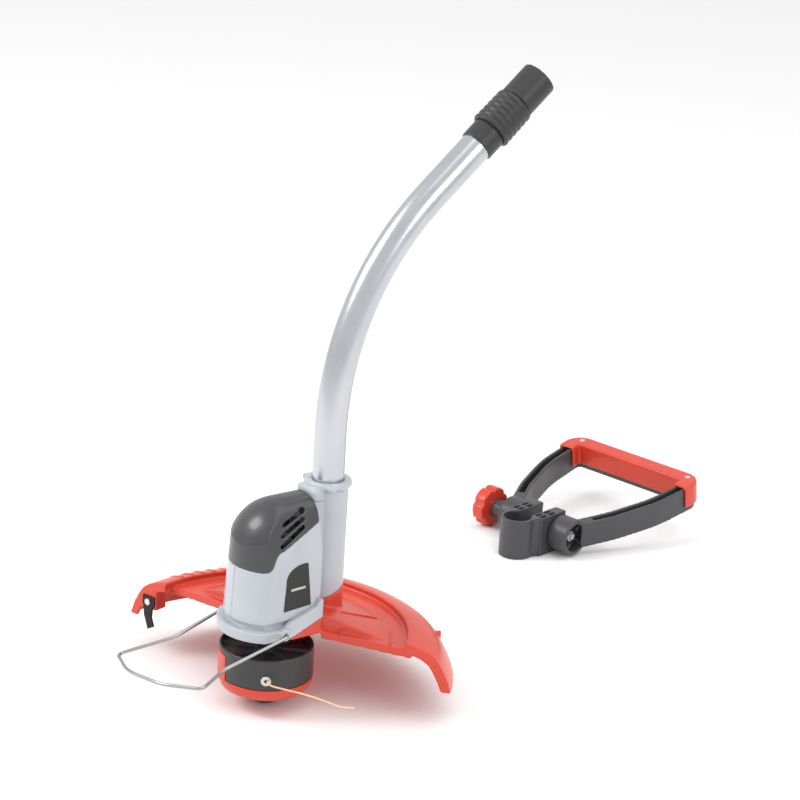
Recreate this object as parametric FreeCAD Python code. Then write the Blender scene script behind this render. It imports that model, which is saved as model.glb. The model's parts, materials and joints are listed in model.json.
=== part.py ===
"""Electric string trimmer: motor head, line head, plant guard, debris guard and lower shaft,
with its detached auxiliary D-handle lying beside it.

Millimetres. +Z runs up the motor axis, the origin is the lowest point of the bump knob,
+Y is the side of the operator's shaft, and the shaft lies in the plane X = 0.
"""
import FreeCAD, Part
import math
import os
from FreeCAD import Vector

os.makedirs("parts", exist_ok=True)

# ---------------------------------------------------------------- general fits
FACE_GAP = 0.3          # between pieces of different bodies that slide or turn past each other
RUNNING_FIT = 0.04      # radial, shaft in its bearing
WALL = 2.4              # moulded wall

# ---------------------------------------------------------------- motor housing
HOUSING_BOTTOM_Z = 87.5
HOUSING_TOP_Z = 190.4
HOUSING_HALF_WIDTH = 31.0
HOUSING_FRONT_RADIUS = 39.3
HOUSING_FRONT_DRAFT = 0.06      # loss of front radius per millimetre of height
HOUSING_BACK_Y = 33.0
SIDE_LEAN_START_Z = 150.0
SIDE_LEAN = 0.325               # loss of half width per millimetre above SIDE_LEAN_START_Z
COVER_FRONT_Z = 135.0
ROOF_CENTRE_Y = 8.0
ROOF_FOOT_RADIUS = 48.6
ROOF_ARCH_START_Z = 180.0       # the leaning sides give way to the arched crown here
VENT_WIDTH = 3.4
BADGE_THICKNESS = 0.9
BADGE_SHARE = 0.99              # the plate's size over its recess

# ---------------------------------------------------------------- skirt ring and guard deck
SKIRT_BOTTOM_Z = 73.0
SKIRT_TOP_Z = 82.5
SKIRT_RADIUS = 44.5
SKIRT_HALF_WIDTH = 36.0
NECK_RADIUS = 36.2
NECK_HALF_WIDTH = 28.4
PLATE_Z = 84.0
PLATE_THICKNESS = 4.0

GUARD_START_DEG = 41.0
GUARD_END_DEG = 189.0
GUARD_RIM_END_DEG = 194.5
GUARD_RADIUS = 164.5
GUARD_WALL_BOTTOM_Z = 31.0
GUARD_WALL = 2.4
GUARD_DECK_INNER_Z = 73.5       # deck height at the head; the deck falls away outward
GUARD_DECK_OUTER_Z = 66.5
GUARD_STEP_Z = 72.5
GUARD_STEP_RADIUS = 122.0
GUARD_FLANGE = 7.0
GUARD_RAMP_TOP_Z = 86.0
GUARD_SCREW_SEAT_Z = 78.0
GUARD_SCREW_TOP_Z = 104.0
GUARD_RAMP_END_RADIUS = 100.0
RAMP_START_DEG = 47.0
RAMP_SPAN_DEG = 136.0
JOINT_START_Y = -1.0            # the joint between guard and housing rises towards the shaft
JOINT_START_Z = 72.4
JOINT_SLOPE = 0.41

# ---------------------------------------------------------------- shaft
SHAFT_Y = 57.0
TUBE_RADIUS = 14.0
TUBE_WALL = 1.5
TUBE_BOTTOM_Z = 112.0
TUBE_BEND_Z = 240.0
TUBE_BEND_RADIUS = 260.0
TUBE_BEND_DEG = 50.0
TUBE_UPPER_STRAIGHT = 85.0
SOCKET_RADIUS = 18.0
SOCKET_TOP_Z = 192.5
SOCKET_FLOOR_Z = 98.0
TUBE_SCREW_Z = 176.0
TUBE_SCREW_RADIUS = 1.9
COLLAR_RADIUS = 21.0
COLLAR_HEIGHT = 6.0
HOOD_BOTTOM_Z = 184.0
WEB_HALF_WIDTH = 13.0

# ---------------------------------------------------------------- shaft coupling
COUPLING_START = 61.0           # along the upper straight, from the end of the bend
NECK_LENGTH = 18.0
LOCK_RING_LENGTH = 35.0
END_SLEEVE_LENGTH = 33.0
COUPLING_NECK_RADIUS = 15.5
COUPLING_CORE_RADIUS = 15.2
LOCK_RING_RADIUS = 17.4
LOCK_RING_RIB = 1.1
LOCK_RING_RIBS = 6
END_SLEEVE_RADIUS = 16.25
UPPER_SOCKET_RADIUS = 14.1
UPPER_SOCKET_LENGTH = 48.0
PLUG_LENGTH = 12.0

# ---------------------------------------------------------------- motor
SHAFT_RADIUS = 4.0
SHAFT_BOTTOM_Z = 50.0
SHAFT_TOP_Z = 171.0
BEARING_RADIUS = 11.0
UPPER_BEARING_RADIUS = 9.0
BEARING_HEIGHT = 7.0
LOWER_BEARING_Z = 78.0
UPPER_BEARING_Z = 165.0
STATOR_RADIUS = 26.5
STATOR_BORE = 17.5
STATOR_Z = (104.0, 139.0)
ARMATURE_AIR_GAP = 0.4
COIL_OVERHANG = 8.0
FAN_RADIUS = 20.0
FAN_BLADES = 9
COMMUTATOR_RADIUS = 10.5
COMMUTATOR_Z = (148.0, 159.5)
MOTOR_BOLT_Y = 22.5
BRIDGE_RADIUS = 27.0
MOTOR_BOLT_RADIUS = 1.8

# ---------------------------------------------------------------- line head
DRUM_RADIUS = 41.5
DRUM_TOP_Z = 56.0
DRUM_BOTTOM_Z = 28.0
DRUM_WALL = 2.4
DRUM_WEB_Z = 48.0
DRUM_WEB = 2.0
DRUM_HUB_RADIUS = 9.0
DRUM_HUB_TOP_Z = 66.0
COVER_FLOOR_Z = 12.6
TAB_DEG = 250.0
TAB_SPAN_DEG = 36.0
TAB_TOP_Z = 51.0
SPOOL_Z = (20.0, 43.0)
SPOOL_RADIUS = 36.0
SPOOL_BORE = 9.0
SPOOL_CORE_RADIUS = 12.0
WINDING_RADIUS = 30.0
KNOB_RADIUS = 13.0
KNOB_FOOT_RADIUS = 4.0
KNOB_FLANGE_RADIUS = 16.0
KNOB_TRAVEL = 4.0
SPRING_WIRE_RADIUS = 0.8
SPRING_RADIUS = 6.2
EYELET_DEG = -34.0
EYELET_Z = 38.0
EYELET_RADIUS = 4.5
EYELET_BORE = 1.6
LINE_RADIUS = 0.75

# ---------------------------------------------------------------- plant guard wire
WIRE_RADIUS = 1.5
WIRE_HINGE_Y = -7.5
WIRE_HINGE_Z = 79.0
WIRE_PIN_END_X = 34.5
WIRE_HINGE_X = 42.5
HINGE_BOSS_RADIUS = 5.5
HINGE_BOSS_END_X = 39.8

# ---------------------------------------------------------------- auxiliary handle
HANDLE_PLACE = (-161.5, 451.5, 21.0)
HANDLE_YAW_DEG = 10.0
HANDLE_RISE_DEG = 9.0
CLAMP_HEIGHT = 41.0
CLAMP_BORE = 14.2
CLAMP_WALL = 3.0
CLAMP_LOOP_Y = -40.5
LEG_INNER_X = 8.0
LEG_OUTER_X = 21.5
LEG_END_Y = 10.0
BOSS_RADIUS = 18.5
BOSS_END_X = 45.3
BOSS_RECESS_RADIUS = 14.5
BOSS_RECESS_DEPTH = 12.0
GRIP_Y = 152.0
GRIP_HALF_WIDTH = 78.0
ARM_WIDTH = 13.0
ARM_DEPTH = 27.0
ARM_SLOT_WIDTH = 6.5
GRIP_COVER = 2.6
BOLT_RADIUS = 3.0
KNOB_NECK_RADIUS = 9.5
KNOB_NECK_END_X = 63.0
CLAMP_KNOB_RADIUS = 20.9
CLAMP_KNOB_X = -78.3
CLAMP_KNOB_THICKNESS = 14.0

X_AXIS = Vector(1, 0, 0)
Y_AXIS = Vector(0, 1, 0)
Z_AXIS = Vector(0, 0, 1)


# ================================================================ small geometry helpers
def save(name, shape):
    """Write one sub-part to its STEP file."""
    shape.exportStep(f"parts/{name}.step")


def box(x0, x1, y0, y1, z0, z1):
    return Part.makeBox(x1 - x0, y1 - y0, z1 - z0, Vector(x0, y0, z0))


def disc(radius, z0, z1, x=0.0, y=0.0):
    """Upright cylinder between two heights."""
    return Part.makeCylinder(radius, z1 - z0, Vector(x, y, z0), Z_AXIS)


def ring(outer, inner, z0, z1, x=0.0, y=0.0):
    return disc(outer, z0, z1, x, y).cut(disc(inner, z0 - 1, z1 + 1, x, y))


def rod_x(radius, x0, x1, y=0.0, z=0.0):
    """Cylinder along X between two stations."""
    return Part.makeCylinder(radius, x1 - x0, Vector(x0, y, z), X_AXIS)


def polygon_face(points):
    return Part.Face(Part.makePolygon(list(points) + [points[0]]))


def prism_x(outline, x0, x1):
    """Extrude a (y, z) outline along X."""
    return polygon_face([Vector(x0, y, z) for y, z in outline]).extrude(Vector(x1 - x0, 0, 0))


def prism_z(outline, z0, z1):
    """Extrude an (x, y) outline along Z."""
    return polygon_face([Vector(x, y, z0) for x, y in outline]).extrude(Vector(0, 0, z1 - z0))


def turned(outline, start_deg=0.0, span_deg=360.0):
    """Revolve an (r, z) outline about the Z axis, starting at an angle from +X."""
    face = polygon_face([Vector(r, 0, z) for r, z in outline])
    solid = face.revolve(Vector(0, 0, 0), Z_AXIS, span_deg)
    solid.rotate(Vector(0, 0, 0), Z_AXIS, start_deg)
    return solid


def polar(radius, deg, z=0.0):
    return Vector(radius * math.cos(math.radians(deg)), radius * math.sin(math.radians(deg)), z)


def union(shapes):
    shapes = list(shapes)
    return shapes[0].multiFuse(shapes[1:]).removeSplitter() if len(shapes) > 1 else shapes[0]


def bent_path(points, radii):
    """Straight runs joined by tangent arcs: one radius for each inner point."""
    edges = []
    here = points[0]
    for before, corner, after, radius in zip(points, points[1:], points[2:], radii):
        into = (corner - before).normalize()
        out = (after - corner).normalize()
        half_turn = into.getAngle(out) / 2
        tangent = radius * math.tan(half_turn)
        arc_start = corner - into * tangent
        arc_end = corner + out * tangent
        middle = corner + (out - into).normalize() * (radius / math.cos(half_turn) - radius)
        edges.append(Part.LineSegment(here, arc_start).toShape())
        edges.append(Part.Arc(arc_start, middle, arc_end).toShape())
        here = arc_end
    edges.append(Part.LineSegment(here, points[-1]).toShape())
    return Part.Wire(edges)


def swept_rod(points, radii, radius):
    """Round bar along a path of runs and arcs."""
    path = bent_path(points, radii)
    circle = Part.Wire(Part.makeCircle(radius, points[0], points[1] - points[0]))
    return path.makePipeShell([circle], True, False)


def helix_spring(coil_radius, wire_radius, z0, z1, turns):
    """Open helical spring round the Z axis, its wire's axis starting and ending at z0 and z1."""
    helix = Part.makeHelix((z1 - z0) / turns, z1 - z0, coil_radius)
    helix.translate(Vector(0, 0, z0))
    circle = Part.Wire(Part.makeCircle(wire_radius, Vector(coil_radius, 0, z0), Y_AXIS))
    return Part.Wire(helix.Edges).makePipeShell([circle], True, True)


def round_edges(shape):
    """The circular edges of a cylinder."""
    return [edge for edge in shape.Edges if edge.Curve.TypeId.endswith("Circle")]


def mirrored_x(shape):
    return shape.mirror(Vector(0, 0, 0), X_AXIS)


# ================================================================ motor housing
def plan_prism(front_radius, half_width, back_y, z0, z1):
    """Plan of the housing family: a round front, flat sides and a square back."""
    front_y = -math.sqrt(front_radius ** 2 - half_width ** 2)
    arc = Part.Arc(Vector(-half_width, front_y, z0), Vector(0, -front_radius, z0),
                   Vector(half_width, front_y, z0)).toShape()
    rest = Part.makePolygon([Vector(half_width, front_y, z0), Vector(half_width, back_y, z0),
                             Vector(-half_width, back_y, z0), Vector(-half_width, front_y, z0)])
    face = Part.Face(Part.Wire([arc] + rest.Edges))
    return face.extrude(Vector(0, 0, z1 - z0))


def housing_form(inset):
    """Outer form of housing and top cover together, or the same form set in by a wall."""
    bottom, top = HOUSING_BOTTOM_Z, HOUSING_TOP_Z + 10
    radius = HOUSING_FRONT_RADIUS - inset
    half = HOUSING_HALF_WIDTH - inset
    height = top - bottom
    front = Part.makeCone(radius, radius - HOUSING_FRONT_DRAFT * height, height,
                          Vector(0, 0, bottom), Z_AXIS)
    front = front.common(box(-half, half, -60, 0.01, bottom, top))
    rear = box(-half, half, 0, HOUSING_BACK_Y - inset, bottom, top)
    arch_x = half - SIDE_LEAN * (ROOF_ARCH_START_Z - SIDE_LEAN_START_Z)
    section = [Vector(-arch_x, -60, ROOF_ARCH_START_Z), Vector(-half, -60, SIDE_LEAN_START_Z),
               Vector(-half, -60, bottom), Vector(half, -60, bottom), Vector(half, -60, SIDE_LEAN_START_Z),
               Vector(arch_x, -60, ROOF_ARCH_START_Z)]
    arch = Part.Arc(section[-1], Vector(0, -60, HOUSING_TOP_Z + 0.2 - inset), section[0]).toShape()
    leaning = Part.Face(Part.Wire(Part.makePolygon(section).Edges + [arch])).extrude(Vector(0, 120, 0))
    return front.fuse(rear).removeSplitter().common(leaning).common(roof(inset))


def roof(inset):
    """Domed roof: turned over the front of the motor, carried straight back over the rear."""
    low = HOUSING_BOTTOM_Z - 5
    profile = [(ROOF_FOOT_RADIUS, 140), (45.8, 149.5), (42.3, 158.5), (35.6, 171), (23.5, 182.6), (11, 188.4),
               (0, HOUSING_TOP_Z)]
    points = [Vector(max(r - inset, 0), 0, z - inset * (1 - r / ROOF_FOOT_RADIUS)) for r, z in profile]
    curve = Part.BSplineCurve()
    curve.interpolate(points)
    outline = Part.makePolygon([points[-1], Vector(0, 0, low), Vector(points[0].x, 0, low), points[0]])
    half = Part.Face(Part.Wire([curve.toShape()] + outline.Edges))
    dome = half.revolve(Vector(0, 0, 0), Z_AXIS, 360)
    dome.translate(Vector(0, ROOF_CENTRE_Y, 0))
    return dome.common(box(-90, 90, -90, ROOF_CENTRE_Y, low, 250)).fuse(
        box(-90, 90, ROOF_CENTRE_Y, 90, low, HOUSING_TOP_Z - inset))


def cover_region():
    """The part of the form that belongs to the dark top cover, above the S-shaped joint line."""
    low = COVER_FRONT_Z
    line = [Vector(-60, -60, low), Vector(-60, -24.5, low)]
    curve = Part.BSplineCurve()
    curve.interpolate([Vector(-60, -24.5, low), Vector(-60, -19, low + 2.8), Vector(-60, -15.6, low + 10.5),
                       Vector(-60, -6.4, low + 17.7)])
    rest = [Vector(-60, -6.4, low + 17.7), Vector(-60, 20, low + 29.7), Vector(-60, 40, low + 39.0),
            Vector(-60, 60, low + 39.0), Vector(-60, 60, 230), Vector(-60, -60, 230), line[0]]
    wire = Part.Wire([Part.LineSegment(*line).toShape(), curve.toShape()] + Part.makePolygon(rest).Edges)
    return Part.Face(wire).extrude(Vector(120, 0, 0))


def rounded(shape, radius, chosen):
    """Fillet the edges that a test picks."""
    edges = [edge for edge in shape.Edges if chosen(edge)]
    return shape.makeFillet(radius, edges) if edges else shape


def joint_z(y):
    """Height of the sloping joint between the guard and what stands on it."""
    return JOINT_START_Z + JOINT_SLOPE * max(y - JOINT_START_Y, 0)


def below_joint():
    """Everything under the sloping joint, behind the start of its slope."""
    far = 100.0
    return prism_x([(JOINT_START_Y, 0), (JOINT_START_Y, JOINT_START_Z), (far, joint_z(far)), (far, 0)], -60, 60)


def socket_form(z0, z1, web_top):
    """Round socket for the tube, with the web that ties it to the back of the housing."""
    socket = disc(SOCKET_RADIUS, z0, z1, 0, SHAFT_Y)
    web = box(-WEB_HALF_WIDTH, WEB_HALF_WIDTH, HOUSING_BACK_Y - 1, SHAFT_Y, z0, web_top)
    return socket.fuse(web)


def screw_places():
    """(y, z) of the screws that hold the two housing halves together."""
    return [(37.5, 104.0), (37.5, 142.0), (37.5, 176.0), (-32.0, 95.0)]


def housing_shell(form, cover):
    """Both halves of the light housing in one piece, before the split."""
    inner = housing_form(WALL).fuse(plan_prism(HOUSING_FRONT_RADIUS - WALL, HOUSING_HALF_WIDTH - WALL,
                                  HOUSING_BACK_Y - WALL, HOUSING_BOTTOM_Z - 5, HOUSING_BOTTOM_Z + 1))
    shell = form.cut(cover).cut(inner)
    socket = socket_form(60, SOCKET_TOP_Z, HOOD_BOTTOM_Z).cut(below_joint()).cut(inner).cut(cover.common(form))
    socket = socket.cut(disc(TUBE_RADIUS, SOCKET_FLOOR_Z + 7, SOCKET_TOP_Z + 1, 0, SHAFT_Y))
    shell = shell.fuse(socket.cut(tube_screw_hole()))
    front_boss = rod_x(3.6, -14, 14, *screw_places()[3])
    boss_wall = box(-14, 14, -40, -32.0, 91.5, 98.5).common(form)
    shell = shell.fuse(front_boss.common(form)).fuse(boss_wall)
    for y, z in screw_places():
        shell = shell.cut(rod_x(1.55, -9.0, 9.0, y, z)).cut(rod_x(3.1, -40, -9.0, y, z))
    for x, y in guard_screw_places():
        shell = shell.cut(disc(1.55, 80, GUARD_SCREW_TOP_Z + 0.3, x, y))
    return shell.removeSplitter()


def badge_plate(share=1.0):
    """Side badge: straight foot and back, curved shoulder; a share of the full outline's size."""
    outline = [Vector(0, 9 + (y - 9) * share, 117 + (z - 117) * share) for y, z in
               ((18, 138), (5.6, 136.2), (-0.8, 131.5), (-3.4, 122), (-5.4, 96.6), (22.6, 98.4))]
    curve = Part.BSplineCurve()
    curve.interpolate(outline[:4])
    rest = Part.makePolygon(outline[3:] + outline[:1])
    plate = Part.Face(Part.Wire([curve.toShape()] + rest.Edges)).extrude(Vector(BADGE_THICKNESS + 0.4, 0, 0))
    plate.translate(Vector(HOUSING_HALF_WIDTH - BADGE_THICKNESS, 0, 0))
    return plate


def vent_slots(side):
    """Three slanted cooling slots through one leaning side of the cover."""
    slots = []
    for y0, z0, y1, z1 in ((-3.5, 173.5, 18.5, 182.2), (-6.5, 164.8, 16.5, 175.4), (-8.2, 156.4, 15.8, 168.8)):
        length = math.hypot(y1 - y0, z1 - z0)
        slot = box(0, 24, 0, length, -VENT_WIDTH / 2, VENT_WIDTH / 2)
        slot = slot.fuse(rod_x(VENT_WIDTH / 2, 0, 24)).fuse(rod_x(VENT_WIDTH / 2, 0, 24, length))
        slot.rotate(Vector(0, 0, 0), X_AXIS, math.degrees(math.atan2(z1 - z0, y1 - y0)))
        slot.translate(Vector(12, y0, z0))
        slots.append(slot if side > 0 else mirrored_x(slot))
    return slots


def housing_halves(form, region):
    shell = housing_shell(form, region)
    pocket = badge_plate()
    shell = shell.cut(pocket).cut(mirrored_x(pocket))
    big = 400.0
    right = shell.common(box(0, big, -big, big, 0, big))
    left = shell.common(box(-big, 0, -big, big, 0, big))
    save("housing_right", right)
    save("housing_left", left)
    plate = badge_plate(BADGE_SHARE)
    save("badge_right", plate)
    save("badge_left", mirrored_x(plate))


def top_cover(form, region):
    shell = form.common(region).cut(housing_form(WALL))
    for side in (1, -1):
        for slot in vent_slots(side):
            shell = shell.cut(slot)
    save("top_cover", shell)


def housing_screws():
    screws = []
    for y, z in screw_places():
        shank = rod_x(1.5, -9.0, 8.0, y, z)
        head = rod_x(2.9, -11.4, -9.0, y, z).cut(box(-12, -10.6, y - 3, y + 3, z - 0.4, z + 0.4))
        screws.append(shank.fuse(head))
    save("housing_screws", Part.makeCompound(screws))


def skirt_ring():
    """Ring under the housing: outer skirt, recessed neck, inner ledge and wire hinge bosses."""
    tall = plan_prism(SKIRT_RADIUS, SKIRT_HALF_WIDTH, HOUSING_BACK_Y, SKIRT_BOTTOM_Z, 110)
    top_line = [(-60, SKIRT_TOP_Z), (-8, SKIRT_TOP_Z), (-2, 87.5), (26, 97), (30, 103), (60, 103), (60, 130), (-60, 130)]
    outer = tall.cut(prism_x(top_line, -60, 60))
    hollow = plan_prism(SKIRT_RADIUS - WALL, SKIRT_HALF_WIDTH - WALL, HOUSING_BACK_Y - WALL,
                        SKIRT_BOTTOM_Z - 1, SKIRT_TOP_Z - WALL)
    around_housing = plan_prism(HOUSING_FRONT_RADIUS, HOUSING_HALF_WIDTH, HOUSING_BACK_Y + 1, SKIRT_TOP_Z, 120)
    neck = plan_prism(NECK_RADIUS, NECK_HALF_WIDTH, HOUSING_BACK_Y - WALL - 0.2, SKIRT_TOP_Z - WALL, 91.0)
    neck_bore = plan_prism(NECK_RADIUS - WALL, NECK_HALF_WIDTH - WALL, HOUSING_BACK_Y - 2 * WALL - 0.2,
                           PLATE_Z, 92.0)
    ledge = disc(21.0, SKIRT_TOP_Z - WALL - 1, PLATE_Z + 0.5)
    under = below_joint().cut(plan_prism(SKIRT_RADIUS - WALL, SKIRT_HALF_WIDTH - WALL, HOUSING_BACK_Y - WALL, 60, 110))
    body = outer.cut(hollow).cut(around_housing).cut(under)
    body = body.fuse(neck).cut(neck_bore).cut(ledge)
    for side in (1, -1):
        near, far = sorted((side * (SKIRT_HALF_WIDTH - WALL), side * HINGE_BOSS_END_X))
        body = body.fuse(rod_x(HINGE_BOSS_RADIUS, near, far, WIRE_HINGE_Y, WIRE_HINGE_Z))
    for side in (1, -1):
        near, far = sorted((side * (WIRE_PIN_END_X - 1.5), side * (HINGE_BOSS_END_X + 1)))
        body = body.cut(rod_x(WIRE_RADIUS + 0.06, near, far, WIRE_HINGE_Y, WIRE_HINGE_Z))
    save("skirt_ring", body.removeSplitter())


def shaft_collar():
    """Flanged collar round the tube on top of the socket, with a hood over the cover's rear."""
    z0, z1 = SOCKET_TOP_Z, SOCKET_TOP_Z + COLLAR_HEIGHT
    collar = disc(COLLAR_RADIUS, z0, z1, 0, SHAFT_Y)
    collar = collar.makeFillet(2.2, round_edges(collar))
    for side in (1, -1):
        lobe = disc(4.0, z0 + 0.8, z1 - 0.8, side * 18.5, SHAFT_Y - 9)
        collar = collar.fuse(lobe)
    hood = box(-13.5, 13.5, HOUSING_BACK_Y + 0.2, SHAFT_Y, HOOD_BOTTOM_Z, z0 + 2.0)
    hood = rounded(hood, 3.0, lambda e: e.BoundBox.YMax < HOUSING_BACK_Y + 0.3 or (
        e.BoundBox.ZMin > z0 + 1.9 and e.BoundBox.XLength < 0.1))
    hood = hood.cut(disc(SOCKET_RADIUS, HOOD_BOTTOM_Z - 1, z0, 0, SHAFT_Y))
    body = collar.fuse(hood).cut(disc(TUBE_RADIUS, z0 - 9, z1 + 1, 0, SHAFT_Y))
    save("shaft_collar", body.removeSplitter())


# ================================================================ motor
def motor_plate():
    """Bulkhead over the skirt that carries the lower bearing."""
    top = PLATE_Z + PLATE_THICKNESS
    plate = plan_prism(NECK_RADIUS - WALL, NECK_HALF_WIDTH - WALL, HOUSING_BACK_Y - 2 * WALL - 0.2, PLATE_Z, top)
    hub = disc(BEARING_RADIUS + 3, LOWER_BEARING_Z - 2, top)
    plate = plate.fuse(hub).cut(disc(BEARING_RADIUS, LOWER_BEARING_Z, top + 1))
    plate = plate.cut(disc(SHAFT_RADIUS + 2, LOWER_BEARING_Z - 3, LOWER_BEARING_Z + 1))
    for y in (-MOTOR_BOLT_Y, MOTOR_BOLT_Y):
        plate = plate.cut(disc(MOTOR_BOLT_RADIUS, PLATE_Z - 1, top + 1, 0, y))
    for angle in range(0, 360, 60):
        centre = polar(18.5, angle + 30)
        plate = plate.cut(disc(2.6, PLATE_Z - 1, top + 1, centre.x, centre.y))
    save("motor_plate", plate.removeSplitter())


def bearings():
    lower = ring(BEARING_RADIUS, SHAFT_RADIUS + RUNNING_FIT, LOWER_BEARING_Z, LOWER_BEARING_Z + BEARING_HEIGHT)
    upper = ring(UPPER_BEARING_RADIUS, SHAFT_RADIUS + RUNNING_FIT, UPPER_BEARING_Z,
                 UPPER_BEARING_Z + BEARING_HEIGHT - 1)
    save("lower_bearing", lower)
    save("upper_bearing", upper)


def coil(side, clearance=0.0):
    """One field coil: a rectangular loop bent round the stator's inside."""
    z0, z1 = STATOR_Z
    inner, outer = STATOR_BORE + 1.5, STATOR_RADIUS - 2.0
    middle = 0.0 if side > 0 else 180.0
    whole = turned([(inner, z0 - COIL_OVERHANG), (outer, z0 - COIL_OVERHANG),
                    (outer, z1 + COIL_OVERHANG), (inner, z1 + COIL_OVERHANG)], middle - 58, 116)
    window = turned([(inner - 1, z0 - clearance), (outer + 1, z0 - clearance),
                     (outer + 1, z1 + clearance), (inner - 1, z1 + clearance)], middle - 44, 88)
    return whole.cut(window)


def stator():
    z0, z1 = STATOR_Z
    core = ring(STATOR_RADIUS, STATOR_BORE, z0, z1)
    coils = [coil(1), coil(-1)]
    for one in coils:
        core = core.cut(one)
    for y in (-MOTOR_BOLT_Y, MOTOR_BOLT_Y):
        core = core.cut(disc(MOTOR_BOLT_RADIUS, z0 - 1, z1 + 1, 0, y))
    save("stator_core", core)
    save("field_coils", Part.makeCompound(coils))


def armature():
    z0, z1 = STATOR_Z
    radius = STATOR_BORE - ARMATURE_AIR_GAP
    core = ring(radius, SHAFT_RADIUS, z0 - 1, z1 + 1)
    for index in range(12):
        slot = box(radius - 4, radius + 1, -0.9, 0.9, z0 - 2, z1 + 2)
        slot.rotate(Vector(0, 0, 0), Z_AXIS, index * 30)
        core = core.cut(slot)
    save("armature_core", core)
    lower = turned([(SHAFT_RADIUS, z0 - 7), (10, z0 - 7), (14.5, z0 - 4), (14.5, z0 - 1), (SHAFT_RADIUS, z0 - 1)])
    upper = turned([(SHAFT_RADIUS, z1 + 1), (14.5, z1 + 1), (14.5, z1 + 4), (10, z1 + 8), (SHAFT_RADIUS, z1 + 8)])
    save("armature_winding", Part.makeCompound([lower, upper]))
    bars = ring(COMMUTATOR_RADIUS, SHAFT_RADIUS, *COMMUTATOR_Z)
    for index in range(12):
        slit = box(COMMUTATOR_RADIUS - 1.2, COMMUTATOR_RADIUS + 1, -0.3, 0.3, COMMUTATOR_Z[0] + 1, COMMUTATOR_Z[1] + 1)
        slit.rotate(Vector(0, 0, 0), Z_AXIS, index * 30)
        bars = bars.cut(slit)
    save("commutator", bars)
    pin_hole = rod_x(1.5, -SHAFT_RADIUS - 1, SHAFT_RADIUS + 1, 0, DRUM_HUB_TOP_Z - 6)
    save("motor_shaft", disc(SHAFT_RADIUS, SHAFT_BOTTOM_Z, SHAFT_TOP_Z).cut(pin_hole))


def cooling_fan():
    z0 = PLATE_Z + PLATE_THICKNESS + 1.5
    hub = ring(8.0, SHAFT_RADIUS, z0, z0 + 6)
    floor = ring(FAN_RADIUS, SHAFT_RADIUS, z0, z0 + 1.4)
    blades = []
    for index in range(FAN_BLADES):
        blade = box(7.5, FAN_RADIUS - 0.3, -0.7, 0.7, z0 + 0.5, z0 + 5.5)
        blade.rotate(Vector(8, 0, 0), Z_AXIS, 18)
        blade.rotate(Vector(0, 0, 0), Z_AXIS, index * 360 / FAN_BLADES)
        blades.append(blade)
    limit = disc(FAN_RADIUS, z0, z0 + 6).cut(disc(SHAFT_RADIUS, z0 - 1, z0 + 7))
    save("cooling_fan", union([hub, floor] + blades).common(limit))


def brush_gear():
    """Bridge with the upper bearing seat and both brush boxes, the carbon brushes and their springs."""
    plate = box(-20, 20, -26, 26, 161, 165).common(disc(BRIDGE_RADIUS, 161, 165))
    hub = disc(UPPER_BEARING_RADIUS + 2.5, 161, UPPER_BEARING_Z + BEARING_HEIGHT)
    bridge = plate.fuse(hub)
    for side in (1, -1):
        x0, x1 = sorted((side * 12.0, side * 24.0))
        bridge = bridge.fuse(box(x0, x1, -4.8, 4.8, 150, 161.5))
    for side in (1, -1):
        x0, x1 = sorted((side * 11.0, side * 22.5))
        bridge = bridge.cut(box(x0, x1, -3.2, 3.2, 151.3, 157.7))
    bridge = bridge.cut(disc(UPPER_BEARING_RADIUS, UPPER_BEARING_Z, UPPER_BEARING_Z + BEARING_HEIGHT - 1))
    bridge = bridge.cut(disc(SHAFT_RADIUS + 1.5, 155, UPPER_BEARING_Z + 1))
    bridge = bridge.cut(disc(5.5, UPPER_BEARING_Z, UPPER_BEARING_Z + BEARING_HEIGHT + 1))
    for y in (-MOTOR_BOLT_Y, MOTOR_BOLT_Y):
        bridge = bridge.cut(disc(MOTOR_BOLT_RADIUS, 160, 166, 0, y))
    save("brush_bridge", bridge.removeSplitter())
    brushes, springs = [], []
    for side in (1, -1):
        x0, x1 = sorted((side * (COMMUTATOR_RADIUS + FACE_GAP), side * 19.0))
        brushes.append(box(x0, x1, -3.1, 3.1, 151.4, 157.6))
        spring = helix_spring(2.0, 0.35, 19.4, 22.1, 3)
        spring.rotate(Vector(0, 0, 0), Y_AXIS, side * 90)
        spring.translate(Vector(0, 0, 154.5))
        springs.append(spring)
    save("carbon_brushes", Part.makeCompound(brushes))
    save("brush_springs", Part.makeCompound(springs))


def motor_bolts():
    bolts = []
    for y in (-MOTOR_BOLT_Y, MOTOR_BOLT_Y):
        bolts.append(disc(MOTOR_BOLT_RADIUS, PLATE_Z, 165, 0, y).fuse(disc(3.4, 165, 167.6, 0, y)))
    save("motor_bolts", Part.makeCompound(bolts))


# ================================================================ line head
def drum_tab(clearance=0.0):
    """Snap tab on the bottom cover; with a clearance it is the recess for it in the drum."""
    tabs = []
    inner = DRUM_RADIUS - 1.5 - clearance
    for middle in (TAB_DEG, TAB_DEG - 180):
        span = TAB_SPAN_DEG + 2 * clearance
        tabs.append(turned([(inner, DRUM_BOTTOM_Z - 2), (DRUM_RADIUS + 0.4 + clearance, DRUM_BOTTOM_Z - 2),
                            (DRUM_RADIUS + 0.4 + clearance, TAB_TOP_Z + clearance),
                            (inner, TAB_TOP_Z + clearance)], middle - span / 2, span))
    return tabs


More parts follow.
